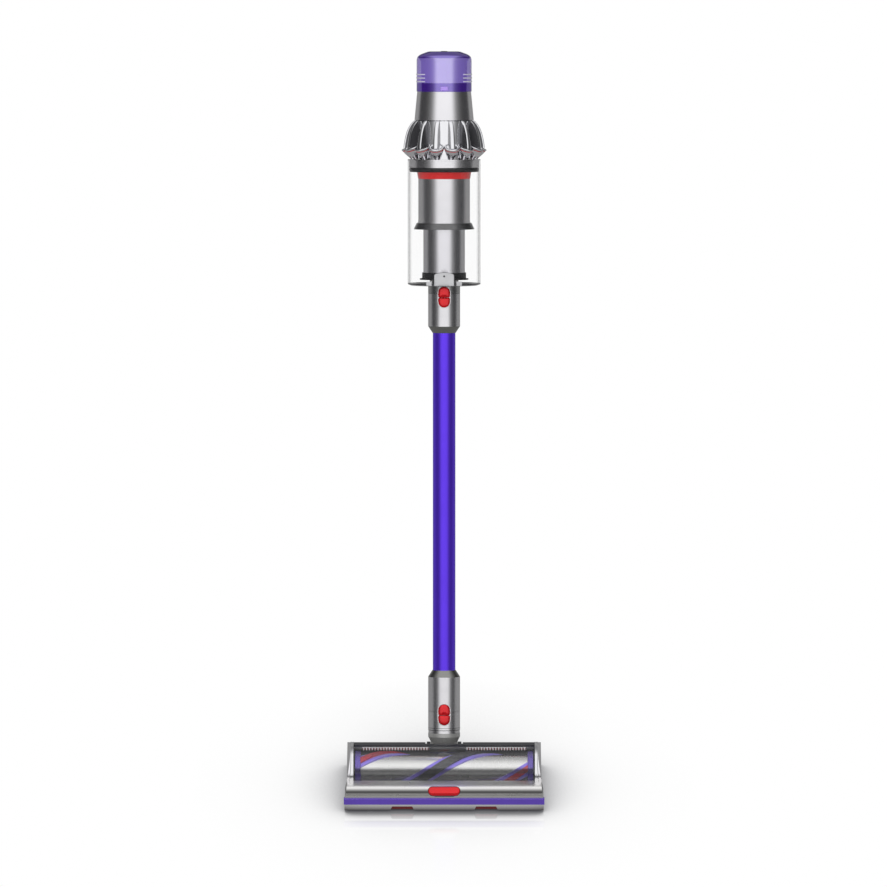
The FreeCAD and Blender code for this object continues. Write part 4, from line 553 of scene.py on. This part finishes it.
CYCLONES = 14
CYCLONE_ANGLES = turns_of(CYCLONES)
CYCLONE_RING = 56           # radius of the ring that the cyclones stand on
TILT = math.radians(24)     # each cyclone leans out by this much
RIM_RISE = 19.5
SEAT = high("bin_seat_ring")
EAVE = high("cyclone_core")
RIM = SEAT + RIM_RISE
DRUM_BORE, DRUM_RADIUS = 32.3, 45.0
CLEARANCE = 0.1
CONE_FOOT_REACH = 5.0       # how far out the low corner of a cone's foot is


def cyclone_frame(angle):
    out = RIGHT * math.cos(angle) + BACK * math.sin(angle)
    side = UP.cross(out)
    axis = UP * math.cos(TILT) + out * math.sin(TILT)
    centre = Vector((CYCLONE_RING * math.cos(angle), CYCLONE_RING * math.sin(angle), RIM)) * MM
    return frame_at(axis.cross(side) * -1, side, axis, STICK @ centre)


CONE_FALL = (RIM_RISE - CLEARANCE - CONE_FOOT_REACH * math.sin(TILT)) / math.cos(TILT)
# (radius, height) on a cyclone's own axis, and how many sides each is turned with
RIM_PROFILE = ((9.0, 0.9), (10.6, 1.3), (12.0, 1.2), (12.8, 0.5), (12.95, -0.6), (12.5, -1.6),
               (11.6, -2.1), (9.0, -2.1))
# A thin red ring under each rim: a painted red reflection there.
RED_REFLECTION_PROFILE = ((9.0, -2.2), (11.9, -2.2), (12.2, -2.7), (11.9, -3.2), (9.0, -3.2))
CONE_PROFILE = ((3.6, -3.3), (11.4, -3.3), (11.2, -5.0), (10.0, -8.0), (8.6, -11.0),
                (7.2, -14.0), (6.0, -16.5), (5.2, -CONE_FALL), (3.6, -CONE_FALL))
LID_PROFILE = ((0.2, 1.6), (6.0, 1.5), (9.1, 0.8), (9.1, -1.5), (0.2, -1.5))


def at_each_cyclone(profile, steps):
    return [lathe(profile, cyclone_frame(angle), steps) for angle in CYCLONE_ANGLES]


cyclone_rims = piece(
    "cyclone_rims", *merged(at_each_cyclone(RIM_PROFILE, 40) + at_each_cyclone(LID_PROFILE, 32)),
    "main_body", "chrome")
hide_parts("cyclone_lips")
# painted red reflection under the cyclone rims
piece("cyclone_red_reflections", *merged(at_each_cyclone(RED_REFLECTION_PROFILE, 32)), "main_body", "red",
      finish_of("rim_painted_red_reflection", (0.50, 0.02, 0.03), 0.3, 0.0, 600, coat=0.5))
piece("cyclone_cones", *merged(at_each_cyclone(CONE_PROFILE, 32)), "main_body", "chrome")

drum_profile = [(DRUM_BORE, SEAT + CLEARANCE), (DRUM_RADIUS, SEAT + CLEARANCE),
                (DRUM_RADIUS, EAVE - 1.5), (DRUM_RADIUS + 0.6, EAVE - 0.6),
                (DRUM_RADIUS + 1.4, EAVE), (DRUM_BORE, EAVE)]
drum = piece("cyclone_drum", *lathe(drum_profile, STICK, 128), "main_body", "chrome")
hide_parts("cyclone_core")

# The ribs: (radius, height) of the crest from the eave down to the rims, and the crest's section
# as (share of its half width, depth)
RIB_ARCH = ((47.2, EAVE - 0.2), (50.2, EAVE - 2.5), (54.0, EAVE - 7.0), (57.6, EAVE - 13.0),
            (60.4, EAVE - 20.0), (62.2, EAVE - 27.0), (63.6, EAVE - 34.0), (64.6, RIM + 3.5),
            (65.0, RIM - 1.5))
CREST_SECTION = ((-1.0, -2.2), (-1.0, -0.9), (-0.75, -0.3), (-0.35, 0.0), (0.35, 0.0),
                 (0.75, -0.3), (1.0, -0.9), (1.0, -2.2))
CREST_HALF, CREST_WIDENING = 2.7, 0.9
WEB_INSET, WEB_TOP, WEB_FOOT = 0.35, 1.8, DRUM_RADIUS + 0.2
crests, webs = [], []
for angle in CYCLONE_ANGLES:
    out = Vector((math.cos(angle), math.sin(angle), 0))
    side = Vector((-math.sin(angle), math.cos(angle), 0))
    crest_rings, web_rings = [], []
    for step, (radius, height) in enumerate(RIB_ARCH):
        half = CREST_HALF + CREST_WIDENING * step / (len(RIB_ARCH) - 1)
        web_half = half - WEB_INSET
        lift = Vector((0, 0, height))
        crest_rings.append([STICK @ ((out * (radius + depth) + side * share * half + lift) * MM)
                            for share, depth in CREST_SECTION])
        web_rings.append([STICK @ ((out * distance + side * across + lift) * MM)
                          for across, distance in (
                              (-web_half, WEB_FOOT), (-web_half, radius - WEB_TOP),
                              (web_half, radius - WEB_TOP), (web_half, WEB_FOOT))])
    crests.append(loft(crest_rings))
    webs.append(loft(web_rings))
rib_piece = piece("cyclone_ribs", *merged(crests), "main_body", "chrome", sharp=50)
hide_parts("cyclone_fingers")
# The webs under the rib crests are near black: painted shade beside each rib.
piece("cyclone_webs", *merged(webs), "main_body", "chrome",
      finish_of("rib_web_painted_shade", (0.13, 0.13, 0.14), 0.22, 0.6, 400, tint=0.02))


# ------------------------------------------------------------------ rocker buttons

ROCKER_HALF = 9.7           # half the width of a lobe
ROCKER_UP, ROCKER_DOWN = 17.8, 15.8
ROCKER_GAP = 0.15           # half the crease between the lobes
ROCKER_CORNER = 2.5
ROCKER_FOOT = 24.7          # radius from which the lobes rise
ROCKER_PIVOT = 16           # height of the pivot over the foot of the CAD button
POCKET_HALF = 10.5
POCKET_UP, POCKET_DOWN = 8, 6
POCKET_RADIUS = 25.55
POCKET_SEAM = 5.5           # height of the seam between the two stick parts over the pivot
SEAM_GAP = 0.1
# (share of the outline, rise) of a lobe's rings
PILLOW = ((1.0, 0.0), (0.985, 1.1), (0.95, 1.75), (0.88, 2.15), (0.74, 2.4), (0.5, 2.55),
          (0.2, 2.6))


def on_stick(x, u, radius):
    """A point across and up the front of the stick, bent round a radius."""
    angle = x / radius
    return STICK @ (Vector((radius * math.sin(angle), -radius * math.cos(angle), u)) * MM)


def round_end(half, low_u, high_u, corner, steps=10):
    """Half a stadium: a full round at high_u and two small corners at low_u."""
    way = 1 if high_u > low_u else -1
    points = []
    for i in range(steps + 1):
        angle = math.pi * i / steps
        points.append((half * math.cos(angle), high_u - way * half + way * half * math.sin(angle)))
    for side, first in ((-1, math.pi), (1, 1.5 * math.pi)):
        for i in range(5):
            angle = first + math.pi / 8 * i
            points.append(((half - corner) * side + corner * math.cos(angle),
                           low_u + way * corner + way * corner * math.sin(angle)))
    return points


def lobe(pivot, way, length, thickness):
    """A soft lobe that runs from the pivot up (way 1) or down (way -1) the stick."""
    outline = round_end(
        ROCKER_HALF, pivot + way * ROCKER_GAP, pivot + way * length, ROCKER_CORNER)
    cx = sum(x for x, _ in outline) / len(outline)
    cu = sum(u for _, u in outline) / len(outline)
    return loft([[on_stick(cx + (x - cx) * share, cu + (u - cu) * share,
                           ROCKER_FOOT + rise * thickness) for x, u in outline]
                 for share, rise in PILLOW])


def pocket_end(centre, first):
    """A round end of the pocket's outline; first counts sixteenths of a half turn."""
    return [(POCKET_HALF * math.cos(math.pi * i / 16),
             centre + POCKET_HALF * math.sin(math.pi * i / 16)) for i in range(first, first + 17)]


def rocker(name, node, body, below, above):
    """A see-saw button in two lobes, with a bright line round its pocket.

    below and above: the bodies under and over the seam that the pocket crosses.
    """
    pivot = low(node) + ROCKER_PIVOT
    seam = pivot + POCKET_SEAM
    lobes = [lobe(pivot, 1, ROCKER_UP, 1.0), lobe(pivot, -1, ROCKER_DOWN, 0.85)]
    button = piece(name, *merged(lobes), body, "red", sharp=60)
    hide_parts(node)
    outline = pocket_end(pivot + POCKET_UP, 0)
    outline += [(-POCKET_HALF, seam + SEAM_GAP), (-POCKET_HALF, seam - SEAM_GAP)]
    outline += pocket_end(pivot - POCKET_DOWN, 16)
    outline += [(POCKET_HALF, seam - SEAM_GAP), (POCKET_HALF, seam + SEAM_GAP)]
    upper = [p for p in outline[-1:] + outline[:-1] if p[1] > seam]
    lower = [p for p in outline if p[1] < seam]
    for part, path, rider in (("upper", upper, above), ("lower", lower, below)):
        piece(f"{name}_pocket_{part}", *loft(bead(path, on_stick, 0.45, POCKET_RADIUS, 0.4, 8)),
              rider, "nickel",
              finish_of(f"{name}_{part}_line", (0.93, 0.90, 0.92), 0.2, 0.3, 600))


rocker("cuff_rocker", "cuff_release_button", "cuff_button", "cuff", "wand")
rocker("wand_rocker", "wand_release_button", "wand_button", "wand", "bin_base")

# ------------------------------------------------------------------ cuff and wand

HOOP_DEPTH = 0.6


def hoop(name, u, radius, height, body):
    """A fine dark ring let into a round piece of the stick."""
    inside = radius - HOOP_DEPTH
    profile = [(inside, u - height / 2), (radius, u - height / 2), (radius, u + height / 2),
               (inside, u + height / 2)]
    piece(name, *lathe(profile, STICK), body, "black_rubber", SEAM)


sleeve = reach("cuff_sleeve") + 0.06
cuff_foot = low("cuff_sleeve")
hoop("cuff_foot_line", cuff_foot + 3.6, sleeve, 0.6, "cuff")
hoop("cuff_lip_line", cuff_foot + 0.3, sleeve, 0.5, "cuff")

WAND_RADIUS, WAND_BORE = 18.1, 16.2
WAND_OVERLAP = 4            # length of wand inside each collar
wand_low = high("wand_lower_collar") - WAND_OVERLAP
wand_high = low("wand_upper_collar") + WAND_OVERLAP
wand_profile = [(WAND_BORE, wand_low), (WAND_RADIUS, wand_low), (WAND_RADIUS, wand_high),
                (WAND_BORE, wand_high)]
wand_piece = piece("wand_skin", *lathe(wand_profile, STICK), "wand", "violet_aluminium")
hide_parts("wand_tube")

# ------------------------------------------------------------------ bin foot

BASE_TOP = low("bin_wall")
LUG_FACE = 63.3             # distance of the hinge lug's flat face from the stick's axis
LUG_FOOT = BASE_TOP + 1.0
LUG_HALF, LUG_STRAIGHT, LUG_CROWN = 15.8, 17, 4.5
LUG_MIDDLE = LUG_FOOT + 11


def on_lug(x, u, proud):
    return STICK @ (Vector((x, -(LUG_FACE + proud), u)) * MM)


lug_outline = [(-LUG_HALF, LUG_FOOT), (LUG_HALF, LUG_FOOT)]
lug_outline += [(LUG_HALF * math.cos(math.pi * i / 12),
                 LUG_FOOT + LUG_STRAIGHT + LUG_CROWN * math.sin(math.pi * i / 12))
                for i in range(13)]
lug_rings = [[on_lug(x * share, LUG_MIDDLE + (u - LUG_MIDDLE) * share, proud)
              for x, u in lug_outline]
             for share, proud in ((1.0, -3.0), (1.0, 0.0), (0.97, 0.6), (0.93, 0.8))]
piece("hinge_lug_plate", *loft(lug_rings), "bin", "clear",
      frosted("frosted_lug", (0.86, 0.86, 0.88), 0.55))

RIVET_PROFILE = ((0.05, -0.4), (1.5, -0.4), (1.5, 0.3), (1.2, 0.5), (0.05, 0.5))
rivet_place = frame_at(RIGHT, UP, BACK * -1, on_lug(0, LUG_FOOT + 15.5, 0.9))
piece("hinge_lug_rivet", *lathe(RIVET_PROFILE, rivet_place, 24), "bin", "black_rubber")

BLOCK_ANGLE = 24.5          # degrees to each side of the lug
BLOCK_RADIUS = 58.2
BLOCK_HALF_WIDTH, BLOCK_HALF_HEIGHT, BLOCK_RISE = 4.6, 3.4, 4.4
blocks = []
for side in (-1, 1):
    turn = math.radians(BLOCK_ANGLE) * side
    out = Vector((math.sin(turn), -math.cos(turn), 0))
    across = Vector((math.cos(turn), math.sin(turn), 0))
    up = Vector((0, 0, 1))
    blocks.append(loft([
        [STICK @ ((out * (BLOCK_RADIUS + proud) + across * BLOCK_HALF_WIDTH * share * x
                   + up * (BASE_TOP + BLOCK_RISE + BLOCK_HALF_HEIGHT * share * z)) * MM)
         for x, z in ((-1, -1), (1, -1), (1, 1), (-1, 1))]
        for proud, share in ((-2.5, 1.0), (0.3, 1.0), (0.8, 0.84))]))
piece("bin_foot_blocks", *merged(blocks), "bin", "clear",
      frosted("frosted_blocks", (0.80, 0.80, 0.82), 0.7))

lug_edge = bead(lug_outline, on_lug, 0.35, 0.55, 0.35, 6, closed=True)
piece("hinge_lug_edge", *loft(lug_edge + lug_edge[:1], False), "bin", "clear",
      finish_of("lug_edge", (0.16, 0.16, 0.17), 0.3, 0.0, 400))

# ------------------------------------------------------------------ cleaner head

ROLLER_PLACE = frame_at(Vector((0, 1, 0)), Vector((0, 0, 1)), RIGHT, ROLLER)
RING_BAND = 9.0             # width of the violet band at each end of the roller
# (radius, share of the band's width)
RING_SECTION = ((26.7, 0.0), (32.3, 0.0), (33.0, 0.08), (33.1, 0.5), (33.0, 0.92), (32.3, 1.0),
                (26.7, 1.0))
rings_low, rings_high = box_of("brush_rings")[0]
ring_ends = [lathe([(radius, start + share * RING_BAND) for radius, share in RING_SECTION],
                   ROLLER_PLACE) for start in (rings_low, rings_high - RING_BAND)]
rings_piece = piece("brush_ring_bands", *merged(ring_ends), "brush", "violet_plastic")
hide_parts("brush_rings")

COMB_PITCH = 4.6
COMB_ANGLE = math.radians(60)   # where the comb lies round the roller, up from the back
NECK_GAP = (-25.0, 36.0)        # the comb stops on both sides of the neck
# (radius, half width, half thickness) of a tooth from its tip to its root, and its section
TOOTH_TAPER = ((34.0, 0.6, 0.35), (34.7, 0.9, 0.6), (37.5, 1.1, 0.7), (38.7, 1.15, 0.7))
TOOTH_SECTION = ((-1, 0.6), (-0.6, -0.7), (0.6, -0.7), (1, 0.6), (0.6, 1), (-0.6, 1))
comb_out = Vector((0, math.cos(COMB_ANGLE), math.sin(COMB_ANGLE)))
comb_back = Vector((0, math.sin(COMB_ANGLE), -math.cos(COMB_ANGLE)))
comb_low, comb_high = box_of("comb")[0]
TEETH = int((comb_high - comb_low) / COMB_PITCH)
comb_half = TEETH * COMB_PITCH / 2


def comb_point(x, radius, back):
    return ROLLER + (RIGHT * x + comb_out * radius + comb_back * back) * MM


def comb_strips(section):
    """A strip with a section of (radius, distance back) on each side of the neck."""
    return [loft([[comb_point(x, radius, back) for radius, back in section] for x in side])
            for side in ((-comb_half, NECK_GAP[0]), (NECK_GAP[1], comb_half))]


teeth = []
for i in range(TEETH):
    x = (i - (TEETH - 1) / 2) * COMB_PITCH
    if not NECK_GAP[0] < x < NECK_GAP[1]:
        teeth.append(loft([[comb_point(x + a * half, radius, b * thick) for a, b in TOOTH_SECTION]
                           for radius, half, thick in TOOTH_TAPER]))
bars = comb_strips(((38.2, 0.7), (38.9, 0.7), (38.9, 3.0), (38.2, 3.0)))
comb_piece = piece("comb_teeth", *merged(teeth + bars), "head", "comb_white")
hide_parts("comb")
backing = comb_strips(((34.4, 1.3), (38.6, 1.3), (38.6, 2.0), (34.4, 2.0)))
piece("comb_backing", *merged(backing), "head", "comb_white",
      finish_of("comb_dark_red", (0.16, 0.006, 0.008), 0.4, 0.0, 500))

SHOULDER = 14.0             # radius of the fascia's shoulder, on which the slider lies
SHOULDER_SLANT = math.radians(45)
slider_box = box_of("suction_slider")
shoulder_centre = Vector((0, slider_box[1][1], slider_box[2][0]))
shoulder_out = Vector((0, -math.cos(SHOULDER_SLANT), math.sin(SHOULDER_SLANT)))
shoulder_down = Vector((0, -math.sin(SHOULDER_SLANT), -math.cos(SHOULDER_SLANT)))
PAD_HALF_LENGTH, PAD_HALF_HEIGHT = 25.4, 7.4
PAD_RINGS = ((0.0, -0.5), (0.0, 0.7), (0.3, 1.4), (0.9, 1.9), (2.0, 2.25), (3.6, 2.4),
             (5.4, 2.3), (6.8, 1.9))
SURROUND_GROWTH = 0.7
SURROUND_RINGS = ((0.0, -0.4), (0.0, 0.12), (0.9, 0.12), (0.9, -0.4))


def on_shoulder(x, down, proud):
    sag = down * down / (2 * SHOULDER)
    return (shoulder_centre + shoulder_out * (SHOULDER + proud - sag) + shoulder_down * down
            + RIGHT * x) * MM


def stadium(half_length, half_height, steps=12):
    points = []
    for side in (1, -1):
        for i in range(steps + 1):
            angle = math.pi * i / steps - math.pi / 2
            points.append((side * (half_length - half_height + half_height * math.cos(angle)),
                           side * half_height * math.sin(angle)))
    return points


def stadium_rings(grow, rings):
    """Rings of the pad's outline, grown by some mm, for each (inset, rise)."""
    return [[on_shoulder(x, down, rise) for x, down in stadium(
        PAD_HALF_LENGTH + grow - inset, PAD_HALF_HEIGHT + grow - inset)] for inset, rise in rings]


slider_piece = piece("slider_pad", *loft(stadium_rings(0, PAD_RINGS)), "gate_slider", "red",
                     sharp=60)
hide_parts("suction_slider")
surround = stadium_rings(SURROUND_GROWTH, SURROUND_RINGS)
piece("slider_surround", *loft(surround + surround[:1], False), "head", "black_rubber", SEAM)


def outline_of(node):
    """Upper hull of a node's side outline, front to back, as (y, z)."""
    spots = sorted({(round(v.co.y / MM, 2), round(v.co.z / MM, 2))
                    for v in NODES[node].data.vertices})
    chain = []
    for spot in spots:
        while len(chain) > 1 and (
                (chain[-1][0] - chain[-2][0]) * (spot[1] - chain[-2][1])
                - (chain[-1][1] - chain[-2][1]) * (spot[0] - chain[-2][0])) >= 0:
            chain.pop()
        chain.append(spot)
    return chain


def evenly(chain, pitch):
    """The same path with points about a pitch apart."""
    points = [chain[0]]
    for (y0, z0), (y1, z1) in zip(chain, chain[1:]):
        steps = max(1, int(math.hypot(y1 - y0, z1 - z0) / pitch))
        points += [(y0 + (y1 - y0) * i / steps, z0 + (z1 - z0) * i / steps)
                   for i in range(1, steps + 1)]
    return points


TRIM_PITCH = 3.0
TRIM_FOOT = 30              # the trim stops at this height
TRIM_DEPTH = 9.0
TRIM_TOP = 0.6              # how far the trim stands over the end cap
TRIM_BEND, TRIM_DROP = 4.0, 4.6
TRIM_NARROWEST = 4.5
trim_inner = box_of("head_shell")[0][1] + CLEARANCE


def trim_section(edge):
    """(distance out, distance over the end cap) of a trim that reaches out to edge."""
    lip = trim_inner
    bend = min(TRIM_BEND, edge - lip - 2.6)
    section = [(lip + 0.1, -6.0), (lip + 0.1, 0.5), (lip + 1.4, 0.6), (lip + 1.6, -0.2),
               (lip + 2.2, -0.2), (lip + 2.4, 0.6)]
    section += [(edge - bend + bend * math.sin(a), TRIM_TOP - TRIM_DROP + TRIM_DROP * math.cos(a))
                for a in (math.pi / 12 * k for k in range(7))]
    return section + [(edge, -TRIM_DEPTH), (lip + 2.0, -TRIM_DEPTH)]


for side, node in ((-1, "end_cap_left"), (1, "end_cap_right")):
    cap_box = box_of(node)
    sole, crown = cap_box[2]
    outer = max(abs(x) for x in cap_box[0])
    narrowest = trim_inner + TRIM_NARROWEST
    path = [p for p in evenly(outline_of(node), TRIM_PITCH) if p[1] > TRIM_FOOT]
    rings = []
    for (y, z), (ny, nz) in with_normals(path):
        edge = narrowest + (outer - narrowest) * (crown - z) / (crown - sole) + 1.0
        rings.append([Vector((side * x, y - ny * over, z - nz * over)) * MM
                      for x, over in trim_section(edge)])
    piece(f"{node}_trim", *loft(rings), "head", "nickel", CHROME_TRIM, sharp=40)

# ------------------------------------------------------------------ bristles

ROOTS_BEYOND = 28           # bristles grow only where the strip is further from the axis
BRISTLE_HALF = 0.12
BRISTLE_SINK = 0.4
chance = random.Random(7)


def outer_faces(node):
    """Triangles of a strip that face away from the roller's axis, and their areas."""
    mesh = NODES[node].data
    mesh.calc_loop_triangles()
    faces, areas = [], []
    for triangle in mesh.loop_triangles:
        corners = [mesh.vertices[i].co for i in triangle.vertices]
        centre = (corners[0] + corners[1] + corners[2]) / 3
        out = centre - ROLLER
        out.x = 0
        out.normalize()
        normal = (corners[1] - corners[0]).cross(corners[2] - corners[0])
        area = normal.length / 2
        far = (centre - ROLLER).yz.length > ROOTS_BEYOND * MM
        if area > 0 and abs(normal.normalized().dot(out)) > 0.9 and far:
            faces.append((corners, out))
            areas.append(area)
    return faces, areas


def bristles(name, node, slot, count, length, spread):
    """Fine filaments scattered over the outer face of a strip, leaning at random."""
    faces, areas = outer_faces(node)
    points, sides = [], []
    for corners, out in chance.choices(faces, areas, k=count):
        a, b = chance.random(), chance.random()
        if a + b > 1:
            a, b = 1 - a, 1 - b
        foot = corners[0] + (corners[1] - corners[0]) * a + (corners[2] - corners[0]) * b
        lean = Vector([chance.uniform(-spread, spread) for _ in range(3)])
        tip = foot + (out + lean) * length * chance.uniform(0.5, 1.0) * MM
        across = out.cross(Vector((1, 0.3, 0))).normalized() * BRISTLE_HALF * MM
        sideways = out.cross(across).normalized() * BRISTLE_HALF * MM
        sunk = foot - out * BRISTLE_SINK * MM
        base = len(points)
        points += [sunk + across, sunk - across / 2 + sideways, sunk - across / 2 - sideways, tip]
        sides += [(base, base + 1, base + 3), (base + 1, base + 2, base + 3),
                  (base + 2, base, base + 3)]
    piece(name, points, sides, "brush", slot)


bristles("nylon_bristles", "nylon_strip", "nylon", 2600, 1.1, 0.5)
bristles("carbon_bristles", "carbon_strip", "carbon", 3000, 0.6, 0.6)


# ------------------------------------------------------------------ floor

FLOOR_HALF = 6.0            # metres
FLOOR_DROP = 0.0002         # metres below the object's lowest point
SHADE_REACH = 0.10          # metres: the floor darkens this near to the object ...
SHEEN_REACH = 0.25          # ... and mirrors it this near


def in_scene(name, mesh, material):
    mesh.materials.append(material)
    item = bpy.data.objects.new(name, mesh)
    bpy.context.scene.collection.objects.link(item)
    return item


def seen_rays(tree):
    """1 where the camera, a reflection or a view through glass looks at it, else 0."""
    paths = tree.nodes.new("ShaderNodeLightPath")
    seen = paths.outputs["Is Camera Ray"]
    for ray in ("Is Glossy Ray", "Is Transmission Ray"):
        seen = math_node(tree, "MAXIMUM", seen, paths.outputs[ray])
    return seen, paths


def openness(tree, distance):
    """1 in the open, less where something stands within a distance."""
    node = tree.nodes.new("ShaderNodeAmbientOcclusion")
    node.samples = 16
    node.inputs["Distance"].default_value = distance
    return node.outputs["AO"]


def mix_shaders(tree, factor, first, second):
    node = tree.nodes.new("ShaderNodeMixShader")
    for source, socket in zip((factor, first, second), node.inputs):
        tree.links.new(source, socket)
    return node.outputs[0]


def pale_floor():
    """White to the eye, with the object's shade near it and a soft sheen where it stands."""
    material, tree, shader = tree_of("pale_floor")
    shader.inputs["Base Color"].default_value = (0.9, 0.9, 0.9, 1)
    shader.inputs["Roughness"].default_value = 0.35
    seen, paths = seen_rays(tree)
    tones = [(0.0, (0.12, 0.12, 0.14)), (0.35, (0.5, 0.5, 0.53)), (0.72, (0.93, 0.93, 0.94)),
             (0.96, (1, 1, 1))]
    glow = tree.nodes.new("ShaderNodeEmission")
    tree.links.new(ramp(tree, openness(tree, SHADE_REACH), tones), glow.inputs["Color"])
    tree.links.new(
        spread_value(tree, paths.outputs["Is Glossy Ray"], 1.0, 0.30), glow.inputs["Strength"])
    mirror = tree.nodes.new("ShaderNodeBsdfGlossy")
    mirror.inputs["Roughness"].default_value = 0.10
    sheen = spread_value(tree, openness(tree, SHEEN_REACH), 0.70, 0.0, 0.5, 0.985)
    face = mix_shaders(tree, sheen, glow.outputs[0], mirror.outputs[0])
    surface = mix_shaders(tree, seen, shader.outputs[0], face)
    tree.links.new(surface, node_of(tree, "OUTPUT_MATERIAL").inputs["Surface"])
    return material


floor_height = CAD_BOX[0][2] - FLOOR_DROP
floor_mesh = bpy.data.meshes.new("floor")
floor_mesh.from_pydata(
    [(x * FLOOR_HALF, y * FLOOR_HALF, floor_height)
     for x, y in ((-1, -1), (1, -1), (1, 1), (-1, 1))], [], [(0, 1, 2, 3)])
floor = in_scene("floor", floor_mesh, pale_floor())

# ------------------------------------------------------------------ light

DOME = 25.0                 # metres
DIM_ROOM = (0.05, 0.05, 0.052)
# how bright the dome is: by its share to the side, and by degrees from the front over the top
DOME_ASIDE = ((0.0, 1.0), (0.48, 1.0), (0.57, 0.78), (0.67, 0.42), (0.76, 0.22), (0.89, 0.10),
              (1.0, 0.04))
DOME_OVER = ((0, 0.05), (9, 0.06), (13, 0.14), (19, 0.96), (22, 1.0), (116, 1.0), (132, 0.55),
             (148, 0.26), (180, 0.24))


def studio_dome():
    """What reflections see: an arched softbox from the front to overhead, in a dim room."""
    material, tree, _ = tree_of("studio_dome")
    aside = math_node(tree, "ABSOLUTE", math_node(tree, "DIVIDE", along(tree, (1, 0, 0)), DOME))
    turn = math_node(tree, "ARCTAN2", along(tree, (0, 0, 1)), along(tree, (0, -1, 0)))
    over = spread_value(tree, turn, 0.0, 1.0, 0.0, math.pi)
    wide = ramp(tree, aside, [(share, (tone, tone, tone)) for share, tone in DOME_ASIDE])
    tall = ramp(tree, over, [
        (degrees / 180, (tone, tone, tone * 1.01)) for degrees, tone in DOME_OVER])
    lit = mix_colours(tree, 1, wide, tall, "MULTIPLY")
    glow = tree.nodes.new("ShaderNodeEmission")
    tree.links.new(mix_colours(tree, 1, lit, DIM_ROOM, "LIGHTEN"), glow.inputs["Color"])
    tree.links.new(glow.outputs[0], node_of(tree, "OUTPUT_MATERIAL").inputs["Surface"])
    work = bmesh.new()
    bmesh.ops.create_uvsphere(work, u_segments=48, v_segments=32, radius=DOME)
    mesh = bpy.data.meshes.new("studio_dome")
    work.to_mesh(mesh)
    work.free()
    dome = in_scene("studio_dome", mesh, material)
    for ray in ("camera", "diffuse", "shadow", "transmission", "volume_scatter"):
        setattr(dome, "visible_" + ray, False)


studio_dome()

world = bpy.data.worlds.new("studio")
bpy.context.scene.world = world
world.use_nodes = True
background = node_of(world.node_tree, "BACKGROUND")
background.inputs["Color"].default_value = (1, 1, 1, 1)
world_seen, _ = seen_rays(world.node_tree)
world.node_tree.links.new(
    spread_value(world.node_tree, world_seen, 0.62, 1.0), background.inputs["Strength"])


def aim(item, place, direction):
    """Put a lamp or a camera in the scene at a place, facing along a direction."""
    bpy.context.scene.collection.objects.link(item)
    item.location = place
    item.rotation_mode = "QUATERNION"
    item.rotation_quaternion = direction.to_track_quat("-Z", "Y")


MIDDLE = STICK @ Vector((-0.001, 0, 0.4955))    # metres: what the middle of the picture shows
KEY_PLACE = Vector((-0.6, -2.6, 1.8))           # metres from there
key_data = bpy.data.lights.new("key", "AREA")
key_data.shape = "RECTANGLE"
key_data.size, key_data.size_y = 1.6, 2.4
key_data.energy = 36
key = bpy.data.objects.new("key", key_data)
aim(key, MIDDLE + KEY_PLACE, -KEY_PLACE)
key.visible_glossy = False

# ------------------------------------------------------------------ camera

ELEVATION = math.radians(30)
DISTANCE = 14.0             # metres
FRAME_WIDTH = 1.4226        # metres across the picture at the object
SENSOR = 36
away = Vector((0, -math.cos(ELEVATION), math.sin(ELEVATION)))
camera_data = bpy.data.cameras.new("camera")
camera_data.sensor_width = SENSOR
camera_data.lens = SENSOR * DISTANCE / FRAME_WIDTH
camera_data.clip_start = 1
camera_data.clip_end = 60
camera = bpy.data.objects.new("camera", camera_data)
aim(camera, MIDDLE + away * DISTANCE, -away)
bpy.context.scene.camera = camera

bpy.context.scene.view_settings.view_transform = "Standard"
